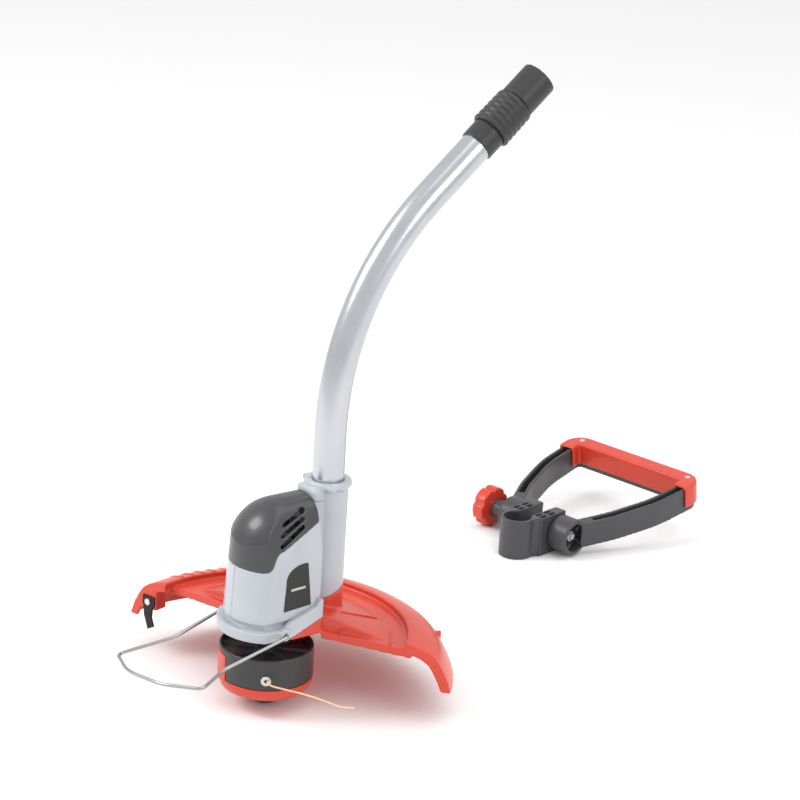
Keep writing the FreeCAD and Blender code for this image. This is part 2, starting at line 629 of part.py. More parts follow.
def head_drum():
    inner = DRUM_RADIUS - DRUM_WALL
    drum = turned([(SHAFT_RADIUS, DRUM_WEB_Z), (inner, DRUM_WEB_Z), (inner, DRUM_BOTTOM_Z),
                   (DRUM_RADIUS - 0.4, DRUM_BOTTOM_Z), (DRUM_RADIUS, DRUM_TOP_Z - 1), (DRUM_RADIUS - 0.8, DRUM_TOP_Z),
                   (inner, DRUM_TOP_Z), (inner, DRUM_WEB_Z + DRUM_WEB), (DRUM_HUB_RADIUS, DRUM_WEB_Z + DRUM_WEB),
                   (DRUM_HUB_RADIUS, DRUM_HUB_TOP_Z), (SHAFT_RADIUS, DRUM_HUB_TOP_Z)])
    web = disc(inner, DRUM_WEB_Z, DRUM_WEB_Z + DRUM_WEB)
    drum = drum.fuse(web)
    ribs = []
    for index in range(8):
        rib = box(DRUM_HUB_RADIUS - 1, inner + 0.5, -1, 1, DRUM_WEB_Z + 1, DRUM_TOP_Z - 3)
        rib.rotate(Vector(0, 0, 0), Z_AXIS, index * 45)
        ribs.append(rib)
    drum = union([drum] + ribs)
    for recess in drum_tab(0.05):
        drum = drum.cut(recess)
    hole = Part.makeCylinder(EYELET_RADIUS - 1.1, 12, polar(DRUM_RADIUS - 8, EYELET_DEG, EYELET_Z), polar(1, EYELET_DEG))
    pin = rod_x(1.5, -DRUM_HUB_RADIUS - 1, DRUM_HUB_RADIUS + 1, 0, DRUM_HUB_TOP_Z - 6)
    save("head_drum", drum.cut(hole).cut(pin))


def head_cover():
    """Red bottom cover: rim, dished floor with the knob's hole, and two snap tabs."""
    outer = [(KNOB_RADIUS + FACE_GAP, COVER_FLOOR_Z), (21, COVER_FLOOR_Z + 0.5), (33, COVER_FLOOR_Z + 2.4),
             (39.0, COVER_FLOOR_Z + 6.0), (41.2, COVER_FLOOR_Z + 11.0), (DRUM_RADIUS + 0.4, DRUM_BOTTOM_Z)]
    inner = [(DRUM_RADIUS - DRUM_WALL, DRUM_BOTTOM_Z), (38.9, COVER_FLOOR_Z + 11.4), (37.1, COVER_FLOOR_Z + 7.6),
             (32.2, COVER_FLOOR_Z + 4.4), (20.8, COVER_FLOOR_Z + 2.5), (KNOB_RADIUS + FACE_GAP, COVER_FLOOR_Z + 2)]
    cover = union([turned(outer + inner)] + drum_tab())
    save("head_cover", cover)


def bump_knob():
    """Domed knob that is tapped on the ground, with its retaining flange and spindle."""
    flange_z = COVER_FLOOR_Z + 2.5
    foot = [(0, 0), (KNOB_FOOT_RADIUS, 0), (8.5, 1.1), (11.5, 3.2), (KNOB_RADIUS, 6.8),
            (KNOB_RADIUS, flange_z), (KNOB_FLANGE_RADIUS, flange_z), (KNOB_FLANGE_RADIUS, SPOOL_Z[0] - 0.2),
            (SPOOL_BORE - 0.08, SPOOL_Z[0] - 0.2), (SPOOL_BORE - 0.08, 26.0), (0, 26.0)]
    save("bump_knob", turned(foot))


def spool():
    z0, z1 = SPOOL_Z
    flange = 2.5
    body = turned([(SPOOL_BORE, z0), (SPOOL_RADIUS, z0), (SPOOL_RADIUS, z0 + flange), (SPOOL_CORE_RADIUS, z0 + flange),
                   (SPOOL_CORE_RADIUS, z1 - flange), (SPOOL_RADIUS, z1 - flange), (SPOOL_RADIUS, z1), (SPOOL_BORE, z1)])
    for index in range(6):
        centre = polar(24, index * 60)
        body = body.cut(disc(5, z0 - 1, z0 + flange + 1, centre.x, centre.y))
    save("line_spool", body)
    save("line_winding", ring(WINDING_RADIUS, SPOOL_CORE_RADIUS, z0 + flange, z1 - flange))


def spool_spring():
    bottom, top = 26.0 + SPRING_WIRE_RADIUS, DRUM_WEB_Z - SPRING_WIRE_RADIUS
    save("spool_spring", helix_spring(SPRING_RADIUS, SPRING_WIRE_RADIUS, bottom, top, 7))


def line_eyelet():
    """Flanged metal eyelet that the line leaves the drum through."""
    direction = polar(1, EYELET_DEG)
    start = polar(DRUM_RADIUS - 4.6, EYELET_DEG, EYELET_Z)
    barrel = Part.makeCylinder(EYELET_RADIUS - 1.1, 5.2, start, direction)
    flange = Part.makeCylinder(EYELET_RADIUS, 1.1, polar(DRUM_RADIUS + 0.1, EYELET_DEG, EYELET_Z), direction)
    flange = flange.makeFillet(0.4, round_edges(flange))
    bore = Part.makeCylinder(EYELET_BORE, 12, polar(DRUM_RADIUS - 6, EYELET_DEG, EYELET_Z), direction)
    save("line_eyelet", barrel.fuse(flange).cut(bore))


def drive_pin():
    save("drive_pin", rod_x(1.5, -DRUM_HUB_RADIUS, DRUM_HUB_RADIUS, 0, DRUM_HUB_TOP_Z - 6))


CUTTING_LINE_ROUTE = [(27.4, -18.5, 38.0), (40.6, -27.4, 38.0), (55.0, -17.5, 37.2), (72.0, -7.0, 36.9),
                      (88.5, 3.0, 34.8), (101.5, 9.8, 32.6), (111.0, 14.6, 36.0)]


def route_radii(points):
    """Largest arc that each corner's two runs allow."""
    radii = []
    for before, corner, after in zip(points, points[1:], points[2:]):
        run = min((corner - before).Length, (after - corner).Length)
        half_turn = (corner - before).getAngle(after - corner) / 2
        radii.append(0.45 * run / math.tan(half_turn))
    return radii


def cutting_line():
    points = [Vector(*point) for point in CUTTING_LINE_ROUTE]
    radii = route_radii(points)
    line = swept_rod(points, radii, LINE_RADIUS)
    length = bent_path(points, radii).Length
    print("cutting line radii", [round(radius, 1) for radius in radii], "length", round(length, 1))
    print("cutting line volume ratio", round(line.Volume / (math.pi * LINE_RADIUS ** 2 * length), 4))
    save("cutting_line", line)


# ================================================================ plant guard wire
def plant_guard_wire():
    """One bent steel wire: a pin in each hinge boss, two arms and the front bar."""
    hinge = [Vector(WIRE_PIN_END_X, WIRE_HINGE_Y, WIRE_HINGE_Z), Vector(WIRE_HINGE_X, WIRE_HINGE_Y, WIRE_HINGE_Z),
             Vector(38.5, -70.5, 60.8)]
    front = [Vector(54, -101, 57), Vector(22, -122, 53.5), Vector(-20, -129, 50.5), Vector(-54, -118, 49.5)]
    points = hinge + front + [Vector(-point.x, point.y, point.z) for point in reversed(hinge)]
    save("plant_guard_wire", swept_rod(points, [2.6, 25, 6, 45, 45, 6, 25, 2.6], WIRE_RADIUS))


# ================================================================ debris guard
def guard_curve(inset):
    """(r, z) points down the outer dome of the guard, set in by a distance along the normal."""
    points = [(100.0, GUARD_STEP_Z + 2.6), (GUARD_STEP_RADIUS, GUARD_STEP_Z), (138.0, 68.2), (149.0, 61.5),
              (156.5, 51.0), (161.5, 41.0), (GUARD_RADIUS, GUARD_WALL_BOTTOM_Z)]
    moved = []
    for index, (r, z) in enumerate(points):
        before = points[max(index - 1, 0)]
        after = points[min(index + 1, len(points) - 1)]
        run, fall = after[0] - before[0], after[1] - before[1]
        size = math.hypot(run, fall)
        moved.append((r + inset * fall / size, z - inset * run / size))
    return moved


def guard_band(depth, start_deg, span_deg):
    """Stretch of the domed rim: its outer surface, thickened inward."""
    outer = Part.BSplineCurve()
    outer.interpolate([Vector(r, 0, z) for r, z in guard_curve(0)])
    inner_points = [Vector(r, 0, z) for r, z in guard_curve(depth)]
    inner_points[-1].z = GUARD_WALL_BOTTOM_Z
    inner = Part.BSplineCurve()
    inner.interpolate(inner_points)
    start = Part.LineSegment(Vector(inner_points[0]), Vector(guard_curve(0)[0][0], 0, guard_curve(0)[0][1])).toShape()
    end = Part.LineSegment(Vector(guard_curve(0)[-1][0], 0, guard_curve(0)[-1][1]), inner_points[-1]).toShape()
    face = Part.Face(Part.Wire(Part.__sortEdges__([start, outer.toShape(), end, inner.toShape()])))
    solid = face.revolve(Vector(0, 0, 0), Z_AXIS, span_deg)
    solid.rotate(Vector(0, 0, 0), Z_AXIS, start_deg)
    return solid


def edge_wall(deg, side, r0, r1):
    """Straight flange along a front edge of the deck, following the deck's fall."""
    y0, y1 = (0, GUARD_WALL) if side > 0 else (-GUARD_WALL, 0)
    outline = [(r0, deck_z(r0)), (r1, deck_z(r1)), (r1, deck_z(r1) - GUARD_FLANGE), (r0, deck_z(r0) - GUARD_FLANGE)]
    wall = polygon_face([Vector(r, y0, z) for r, z in outline]).extrude(Vector(0, y1 - y0, 0))
    wall.rotate(Vector(0, 0, 0), Z_AXIS, deg)
    return wall


def deck_z(radius):
    """Height of the deck's top, which falls evenly from the head to the step."""
    share = (radius - SKIRT_RADIUS) / (GUARD_STEP_RADIUS - SKIRT_RADIUS)
    return GUARD_DECK_INNER_Z + (GUARD_DECK_OUTER_Z - GUARD_DECK_INNER_Z) * share


def guard_ramp():
    """Raised centre panel that falls away from the motor housing, and the hollow under it."""
    end = GUARD_RAMP_END_RADIUS
    top = [(40, deck_z(40) - GUARD_WALL), (40, GUARD_RAMP_TOP_Z), (48, GUARD_RAMP_TOP_Z), (end, deck_z(end) + 0.4),
           (end, deck_z(end) - GUARD_WALL)]
    low = [(r, z - (GUARD_WALL if index in (1, 2, 3) else 3)) for index, (r, z) in enumerate(top)]
    return turned(top, RAMP_START_DEG, RAMP_SPAN_DEG), turned(low, RAMP_START_DEG + 3, RAMP_SPAN_DEG - 6)


def guard_mount():
    """Wall under the skirt's rear and seat under the tube socket, both up to the sloping joint."""
    bottom = deck_z(SKIRT_RADIUS) - GUARD_WALL
    outer = plan_prism(SKIRT_RADIUS, SKIRT_HALF_WIDTH, HOUSING_BACK_Y, bottom, 120)
    inner = plan_prism(SKIRT_RADIUS - WALL, SKIRT_HALF_WIDTH - WALL, HOUSING_BACK_Y - WALL, bottom - 1, 121)
    seat = socket_form(bottom, 120, 120)
    below = below_joint()
    walls = outer.cut(inner).common(below).cut(box(-60, 60, -60, 0, 0, 120))
    pocket = box(-WEB_HALF_WIDTH + WALL, WEB_HALF_WIDTH - WALL, HOUSING_BACK_Y + WALL, SHAFT_Y + 13, bottom - 1,
                 GUARD_SCREW_SEAT_Z)
    return walls.fuse(seat.common(below).cut(inner)), pocket


def guard():
    wall = GUARD_WALL
    span = GUARD_END_DEG - GUARD_START_DEG
    r0, r1 = 34.0, GUARD_STEP_RADIUS + wall
    deck = turned([(r0, deck_z(r0)), (r1, deck_z(r1)), (r1, deck_z(r1) - wall), (r0, deck_z(r0) - wall)],
                  GUARD_START_DEG, span)
    ramp, ramp_hollow = guard_ramp()
    inside_step = disc(GUARD_STEP_RADIUS, 0, 120)
    rim_span = GUARD_RIM_END_DEG - GUARD_START_DEG
    rim = guard_band(wall, GUARD_START_DEG, rim_span).cut(inside_step)
    step = turned([(GUARD_STEP_RADIUS, deck_z(r1) - wall), (r1, deck_z(r1) - wall), (r1, 100),
                   (GUARD_STEP_RADIUS, 100)], GUARD_START_DEG, rim_span).cut(above_dome())
    ends = [guard_band(9.0, start, 1.0).cut(inside_step) for start in (GUARD_START_DEG, GUARD_RIM_END_DEG - 1.0)]
    flanges = [edge_wall(GUARD_START_DEG, 1, 40, GUARD_STEP_RADIUS + 6),
               edge_wall(GUARD_END_DEG, -1, 40, GUARD_STEP_RADIUS + 6)]
    body = deck.fuse(ramp).cut(ramp_hollow)
    body = body.cut(plan_prism(SKIRT_RADIUS, SKIRT_HALF_WIDTH, HOUSING_BACK_Y, 50, 130))
    body = body.cut(socket_form(50, 130, 130))
    mount, pocket = guard_mount()
    flange_trim = plan_prism(SKIRT_RADIUS, SKIRT_HALF_WIDTH, HOUSING_BACK_Y, 50, 130)
    flanges = [flange.cut(flange_trim) for flange in flanges]
    body = union([body, rim, step, mount, blade_pocket()] + ends + flanges + guard_ribs()).cut(pocket)
    for x, y in guard_screw_places():
        body = body.cut(disc(1.7, GUARD_SCREW_SEAT_Z - 1, 120, x, y))
    body = body.cut(rod_x(HINGE_BOSS_RADIUS + 0.2, -HINGE_BOSS_END_X - 0.4, -SKIRT_HALF_WIDTH - 0.02, WIRE_HINGE_Y,
                          WIRE_HINGE_Z))
    save("guard", body.cut(blade_screw_hole()).removeSplitter())


def guard_screw_places():
    """(x, y) of the four screws that hold the guard up against the socket."""
    return [(x, SHAFT_Y + dy) for x in (-7.5, 7.5) for dy in (-13.0, 9.0)]


def above_dome():
    """Everything above the outer surface of the domed rim."""
    curve = guard_curve(0)
    outline = [(curve[0][0] - 20, curve[0][1] + 0.6)] + curve + [(GUARD_RADIUS + 20, GUARD_WALL_BOTTOM_Z),
                                                               (GUARD_RADIUS + 20, 130), (60, 130)]
    return turned(outline)


def blade_pocket():
    """Block at the left end of the rim that the line cutter blade is screwed to."""
    block = box(133, 151, -13, 0, 42, 60)
    block.rotate(Vector(0, 0, 0), Z_AXIS, GUARD_RIM_END_DEG)
    return block.cut(above_dome())


def blade_frame(shape):
    shape.rotate(Vector(0, 0, 0), Z_AXIS, GUARD_RIM_END_DEG)
    return shape


def blade_screw_hole():
    return blade_frame(Part.makeCylinder(1.5, 14, Vector(141, -12, 50), Y_AXIS))


def line_cutter_blade():
    """Thin steel blade with a bevelled lower edge, screwed to the face of its pocket."""
    outline = [(134, 46), (148, 46), (148, 55), (134, 55)]
    plate = polygon_face([Vector(x, 0.02, z) for x, z in outline]).extrude(Vector(0, 1.6, 0))
    hook = polygon_face([Vector(x, 0.02, z) for x, z in ((136, 47), (147, 47), (146, 36), (141, 23), (134, 27),
                                                         (137, 35))]).extrude(Vector(0, 1.6, 0))
    blade = plate.fuse(hook)
    hole = Part.makeCylinder(1.6, 6, Vector(141, -2, 50), Y_AXIS)
    save("line_cutter_blade", blade_frame(blade.cut(hole).removeSplitter()))
    head = Part.makeCylinder(3.0, 1.6, Vector(141, 1.62, 50), Y_AXIS)
    shank = Part.makeCylinder(1.48, 11, Vector(141, -9.3, 50), Y_AXIS)
    save("blade_screw", blade_frame(head.fuse(shank)))


def guard_ribs():
    """Serrations on the raised rim, deck ribs and the small nub on the rim."""
    ribs = []
    for deg in (164, 169, 174, 179, 184):
        crest = [(124, 64), (124, GUARD_STEP_Z + 1.4), (138, 69.6), (143, 66.5), (143, 60)]
        rib = polygon_face([Vector(r, -1.2, z) for r, z in crest]).extrude(Vector(0, 2.4, 0))
        rib.rotate(Vector(0, 0, 0), Z_AXIS, deg)
        ribs.append(rib)
    short = box(62, 64, 5, 17, deck_z(63) - 1, deck_z(63) + 1.6)
    short.rotate(Vector(0, 0, 0), Z_AXIS, GUARD_START_DEG)
    nub_place = polar(155, 67)
    nub = disc(2.2, 50, 58.5, nub_place.x, nub_place.y)
    return ribs + [short, nub]


def guard_screws():
    screws = []
    for x, y in guard_screw_places():
        head = disc(3.0, GUARD_SCREW_SEAT_Z - 2.2, GUARD_SCREW_SEAT_Z, x, y)
        screws.append(head.fuse(disc(1.5, GUARD_SCREW_SEAT_Z, GUARD_SCREW_TOP_Z, x, y)))
    save("guard_screws", Part.makeCompound(screws))


# ================================================================ shaft
def tube_frame(distance):
    """Point on the tube's axis on its upper straight, and the direction there."""
    bend = math.radians(TUBE_BEND_DEG)
    end = Vector(0, SHAFT_Y + TUBE_BEND_RADIUS * (1 - math.cos(bend)), TUBE_BEND_Z + TUBE_BEND_RADIUS * math.sin(bend))
    direction = Vector(0, math.sin(bend), math.cos(bend))
    return end + direction * distance, direction


def along_tube(radius, bottom_z, upper_length):
    """Solid of the given radius that follows the tube's axis."""
    lower = disc(radius, bottom_z, TUBE_BEND_Z, 0, SHAFT_Y)
    section = Part.Face(Part.Wire(Part.makeCircle(radius, Vector(0, SHAFT_Y, TUBE_BEND_Z), Z_AXIS)))
    bend = section.revolve(Vector(0, SHAFT_Y + TUBE_BEND_RADIUS, TUBE_BEND_Z), X_AXIS, -TUBE_BEND_DEG)
    start, direction = tube_frame(0)
    upper = Part.makeCylinder(radius, upper_length, start, direction)
    return union([lower, bend, upper])


def shaft_tube():
    outer = along_tube(TUBE_RADIUS, TUBE_BOTTOM_Z, TUBE_UPPER_STRAIGHT)
    inner = along_tube(TUBE_RADIUS - TUBE_WALL, TUBE_BOTTOM_Z - 1, TUBE_UPPER_STRAIGHT + 1)
    save("shaft_tube", outer.cut(inner).cut(tube_screw_hole()))


def supply_cable():
    block_top = TUBE_BOTTOM_Z - 1.0
    save("supply_cable", along_tube(3.5, block_top, TUBE_UPPER_STRAIGHT + 1.0))
    save("terminal_block", box(-7, 7, SHAFT_Y - 6, SHAFT_Y + 6, SOCKET_FLOOR_Z + 7, block_top))


def on_tube(radius, start, length):
    base, direction = tube_frame(start)
    return Part.makeCylinder(radius, length, base, direction)


def coupling():
    """Neck and core glued on the tube, the turning lock ring, the end sleeve and the plug inside."""
    total = NECK_LENGTH + LOCK_RING_LENGTH + END_SLEEVE_LENGTH
    ring_start = COUPLING_START + NECK_LENGTH
    sleeve_start = ring_start + LOCK_RING_LENGTH
    body = on_tube(COUPLING_NECK_RADIUS, COUPLING_START, NECK_LENGTH - 0.2)
    body = body.makeFillet(0.8, round_edges(body)[:2])
    body = body.fuse(on_tube(COUPLING_CORE_RADIUS, COUPLING_START + 2, total - 2.5))
    body = body.cut(on_tube(TUBE_RADIUS, COUPLING_START - 1, TUBE_UPPER_STRAIGHT - COUPLING_START + 1))
    body = body.cut(on_tube(UPPER_SOCKET_RADIUS, COUPLING_START + total - UPPER_SOCKET_LENGTH, UPPER_SOCKET_LENGTH + 1))
    body = body.cut(on_tube(9.0, COUPLING_START, total))
    save("coupling_body", body.removeSplitter())
    lock = on_tube(LOCK_RING_RADIUS, ring_start + FACE_GAP, LOCK_RING_LENGTH - 2 * FACE_GAP)
    pitch = (LOCK_RING_LENGTH - 2 * FACE_GAP) / LOCK_RING_RIBS
    for index in range(LOCK_RING_RIBS):
        rib = on_tube(LOCK_RING_RADIUS + LOCK_RING_RIB - 0.12 * index, ring_start + FACE_GAP + index * pitch + 0.6,
                      pitch * 0.62)
        rib = rib.makeFillet(0.7, round_edges(rib))
        lock = lock.fuse(rib)
    lock = lock.cut(on_tube(COUPLING_CORE_RADIUS + 0.06, ring_start - 1, LOCK_RING_LENGTH + 2))
    save("lock_ring", lock.removeSplitter())
    sleeve = on_tube(END_SLEEVE_RADIUS, sleeve_start, END_SLEEVE_LENGTH)
    sleeve = sleeve.makeFillet(1.0, round_edges(sleeve))
    sleeve = sleeve.cut(on_tube(COUPLING_CORE_RADIUS, sleeve_start - 1, END_SLEEVE_LENGTH + 2))
    save("end_sleeve", sleeve)
    plug = on_tube(9.0, TUBE_UPPER_STRAIGHT + 1.0, PLUG_LENGTH)
    direction = tube_frame(0)[1]
    for side in (1, -1):
        base = tube_frame(TUBE_UPPER_STRAIGHT + 7.0)[0] + Vector(side * 4.0, 0, 0)
        plug = plug.cut(Part.makeCylinder(1.6, 10, base, direction))
    save("cable_plug", plug)


def rod_y(radius, y0, y1, x, z):
    """Cylinder along Y between two stations."""
    return Part.makeCylinder(radius, y1 - y0, Vector(x, y0, z), Y_AXIS)


def tube_screw():
    """Screw through the socket wall that stops the tube turning."""
    back = SHAFT_Y + SOCKET_RADIUS
    shank = rod_y(TUBE_SCREW_RADIUS, back - 5.6, back + 0.2, 0, TUBE_SCREW_Z)
    save("tube_screw", shank.fuse(rod_y(3.6, back, back + 2.2, 0, TUBE_SCREW_Z)))


def tube_screw_hole():
    return rod_y(TUBE_SCREW_RADIUS + 0.05, SHAFT_Y + 5, SHAFT_Y + SOCKET_RADIUS + 1, 0, TUBE_SCREW_Z)


# ================================================================ auxiliary handle
def place_handle(shape, rise=0.0):
    """Move a piece from the handle's own frame, bolt along X and grip towards +Y, to where it lies."""
    shape.rotate(Vector(0, 0, 0), X_AXIS, rise)
    shape.rotate(Vector(0, 0, 0), Z_AXIS, HANDLE_YAW_DEG)
    shape.translate(Vector(*HANDLE_PLACE))
    return shape


def handle_clamp():
    """Open loop round the shaft with two slotted legs that the bolt draws together."""
    half = CLAMP_HEIGHT / 2
    outer = CLAMP_BORE + CLAMP_WALL
    loop = disc(outer, -half, half, 0, CLAMP_LOOP_Y)
    legs = [box(LEG_INNER_X, LEG_OUTER_X, CLAMP_LOOP_Y + 12, LEG_END_Y, -half, half),
            box(-LEG_OUTER_X, -LEG_INNER_X, CLAMP_LOOP_Y + 12, LEG_END_Y, -half, half)]
    cheeks = [prism_z([(side * 5, CLAMP_LOOP_Y + 8), (side * 16.5, CLAMP_LOOP_Y + 4), (side * 19, CLAMP_LOOP_Y + 13),
                       (side * 5, CLAMP_LOOP_Y + 16)], -half, half) for side in (1, -1)]
    body = union([loop] + legs + cheeks)
    body = body.cut(disc(CLAMP_BORE, -half - 1, half + 1, 0, CLAMP_LOOP_Y))
    body = body.cut(box(-LEG_INNER_X, LEG_INNER_X, CLAMP_LOOP_Y, LEG_END_Y + 1, -half - 1, half + 1))
    for side in (1, -1):
        for y0 in (-26.0, -13.0):
            for offset in (9.8, 15.8):
                x0, x1 = sorted((side * offset, side * (offset + 3.8)))
                body = body.cut(box(x0, x1, y0, y0 + 9.5, half - 7, half + 1))
                body = body.cut(box(x0, x1, y0, y0 + 9.5, -half - 1, -half + 7))
    body = body.cut(rod_x(BOLT_RADIUS + 0.3, -LEG_OUTER_X - 1, LEG_OUTER_X + 1))
    save("handle_clamp", place_handle(body.removeSplitter()))


def frame_path():
    points = [Vector(37.5, 2, 0), Vector(57, 42, 0), Vector(73, 92, 0), Vector(GRIP_HALF_WIDTH, GRIP_Y, 0)]
    points += [Vector(-p.x, p.y, 0) for p in reversed(points)]
    return points, [120, 150, 11, 11, 150, 120]


def frame_sweep(width, z0, z1, points, radii):
    """Rectangular bar swept along the D-shaped path in the handle's plane."""
    path = bent_path(points, radii)
    start = points[0]
    direction = (points[1] - points[0]).normalize()
    across = Vector(-direction.y, direction.x, 0) * (width / 2)
    corners = [start + across + Vector(0, 0, z0), start - across + Vector(0, 0, z0),
               start - across + Vector(0, 0, z1), start + across + Vector(0, 0, z1)]
    return path.makePipeShell([Part.makePolygon(corners + [corners[0]])], True, False)


def handle_frame():
    points, radii = frame_path()
    half = ARM_DEPTH / 2
    bar = frame_sweep(ARM_WIDTH, -half, half, points, radii)
    bosses, recesses = [], []
    for side in (1, -1):
        x0, x1 = sorted((side * (LEG_OUTER_X + FACE_GAP), side * BOSS_END_X))
        boss = rod_x(BOSS_RADIUS, x0, x1)
        bosses.append(boss.makeFillet(1.5, round_edges(boss)))
        x0, x1 = sorted((side * (BOSS_END_X - BOSS_RECESS_DEPTH), side * (BOSS_END_X + 1)))
        if side > 0:
            recesses.append(rod_x(BOSS_RECESS_RADIUS, x0, x1))
    bosses.append(rod_x(KNOB_NECK_RADIUS, -KNOB_NECK_END_X, -LEG_OUTER_X - FACE_GAP))
    body = union([bar] + bosses)
    for recess in recesses:
        body = body.cut(recess)
    body = body.cut(box(-LEG_OUTER_X - FACE_GAP, LEG_OUTER_X + FACE_GAP, -40, 40, -30, 30))
    for side in (1, -1):
        arm = [Vector(side * 48, 23.5, 0), Vector(side * 57, 42, 0), Vector(side * 73, 92, 0),
               Vector(side * 76.5, 134, 0)]
        body = body.cut(frame_sweep(ARM_SLOT_WIDTH, half - 17, half + 1, arm, [50, 140]))
    body = body.cut(rod_x(BOLT_RADIUS + 0.3, -KNOB_NECK_END_X - 1, 60))
    web = box(BOSS_END_X - BOSS_RECESS_DEPTH - 0.5, BOSS_END_X - 3, -1.2, 1.2, -BOSS_RECESS_RADIUS - 1,
              BOSS_RECESS_RADIUS + 1)
    stars = []
    for deg in (45, 135):
        star = web.copy()
        star.rotate(Vector(0, 0, 0), X_AXIS, deg)
        stars.append(star)
    rib = union(stars).cut(rod_x(7.4, 0, 60))
    body = body.fuse(rib)
    for x in (-GRIP_HALF_WIDTH + 7, GRIP_HALF_WIDTH - 7):
        body = body.cut(disc(1.5, 0, half + 1, x, GRIP_Y))
    save("handle_frame", place_handle(body.removeSplitter(), HANDLE_RISE_DEG))


def grip_cover():
    """Red cover over the grip bar and its corners, open along the underside."""
    half = ARM_DEPTH / 2
    points = [Vector(76.2, 131, 0), Vector(GRIP_HALF_WIDTH, GRIP_Y, 0), Vector(-GRIP_HALF_WIDTH, GRIP_Y, 0),
              Vector(-76.2, 131, 0)]
    outer = frame_sweep(ARM_WIDTH + 2 * GRIP_COVER, -7.5, half + GRIP_COVER, points, [11, 11])
    core_points, core_radii = frame_path()
    core = frame_sweep(ARM_WIDTH, -half, half, core_points, core_radii)
    cover = outer.cut(core)
    top_edges = rounded(cover, 2.0, lambda e: e.BoundBox.ZMin > half + GRIP_COVER - 0.01)
    cover = top_edges
    for x in (-GRIP_HALF_WIDTH + 7, GRIP_HALF_WIDTH - 7):
        cover = cover.cut(disc(1.7, 0, half + 9, x, GRIP_Y)).cut(disc(3.4, half + 1.2, half + 9, x, GRIP_Y))
    save("grip_cover", place_handle(cover, HANDLE_RISE_DEG))


def grip_screws():
    half = ARM_DEPTH / 2
    screws = []
    for x in (-GRIP_HALF_WIDTH + 7, GRIP_HALF_WIDTH - 7):
        screws.append(disc(1.45, 1, half + 1.2, x, GRIP_Y).fuse(disc(3.1, half + 1.2, half + 2.4, x, GRIP_Y)))
    save("grip_screws", place_handle(Part.makeCompound(screws), HANDLE_RISE_DEG))


def clamp_hardware():
    nut_x = BOSS_END_X - BOSS_RECESS_DEPTH
    bolt = rod_x(BOLT_RADIUS, CLAMP_KNOB_X + 6, nut_x + 7.5)
    save("clamp_bolt", place_handle(bolt, HANDLE_RISE_DEG))
    corners = [(5.8 * math.cos(math.radians(a)), 5.8 * math.sin(math.radians(a))) for a in range(0, 360, 60)]
    nut = prism_x(corners, nut_x, nut_x + 5).cut(rod_x(BOLT_RADIUS + RUNNING_FIT, nut_x - 1, nut_x + 6))
    save("clamp_nut", place_handle(nut, HANDLE_RISE_DEG))
    washer = rod_x(8.0, -KNOB_NECK_END_X - 1.0, -KNOB_NECK_END_X).cut(rod_x(BOLT_RADIUS + 0.3, -80, -50))
    save("clamp_washer", place_handle(washer, HANDLE_RISE_DEG))


def clamp_knob():
    """Lobed hand knob with a raised star and a hub that bears on the washer."""
    x0, x1 = CLAMP_KNOB_X, CLAMP_KNOB_X + CLAMP_KNOB_THICKNESS
    knob = rod_x(CLAMP_KNOB_RADIUS, x0, x1)
    knob = knob.makeFillet(3.5, round_edges(knob))
    for index in range(6):
        notch = rod_x(5.0, x0 - 1, x1 + 1, CLAMP_KNOB_RADIUS + 2.4, 0)
        notch.rotate(Vector(0, 0, 0), X_AXIS, index * 60 + 30)
        dish = Part.makeSphere(6.0, Vector(x0 - 2.6, 14.0, 0))
        dish.rotate(Vector(0, 0, 0), X_AXIS, index * 60 + 30)
        knob = knob.cut(notch).cut(dish)
    knob = knob.cut(rod_x(BOLT_RADIUS, CLAMP_KNOB_X + 6, -40))
    save("clamp_knob", place_handle(knob.removeSplitter(), HANDLE_RISE_DEG))


# ================================================================ build
def build():
    form = housing_form(0.0)
    region = cover_region()
    housing_halves(form, region)
    top_cover(form, region)
    housing_screws()
    skirt_ring()
    shaft_collar()
    motor_plate()
    bearings()
    stator()
    armature()
    cooling_fan()
    brush_gear()
    motor_bolts()
    head_drum()
    head_cover()
    bump_knob()
    spool()
    spool_spring()
    line_eyelet()
    drive_pin()
    cutting_line()
    plant_guard_wire()
    guard()
    line_cutter_blade()
    guard_screws()
    shaft_tube()
    supply_cable()
    coupling()
    tube_screw()
    handle_clamp()
    handle_frame()
    grip_cover()
    grip_screws()
    clamp_hardware()
    clamp_knob()


build()
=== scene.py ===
"""Looks of the electric string trimmer and its detached auxiliary D-handle.

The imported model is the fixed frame. Each sub-assembly class dresses its own nodes with finishes,
and replaces the moulded pieces with softened ones whose corners are rounded as a mould leaves them.
"""
from __future__ import annotations

import json
import logging
import math
from dataclasses import dataclass, field
from enum import Enum

import bmesh
import bpy
from mathutils import Matrix, Vector
from mathutils.bvhtree import BVHTree

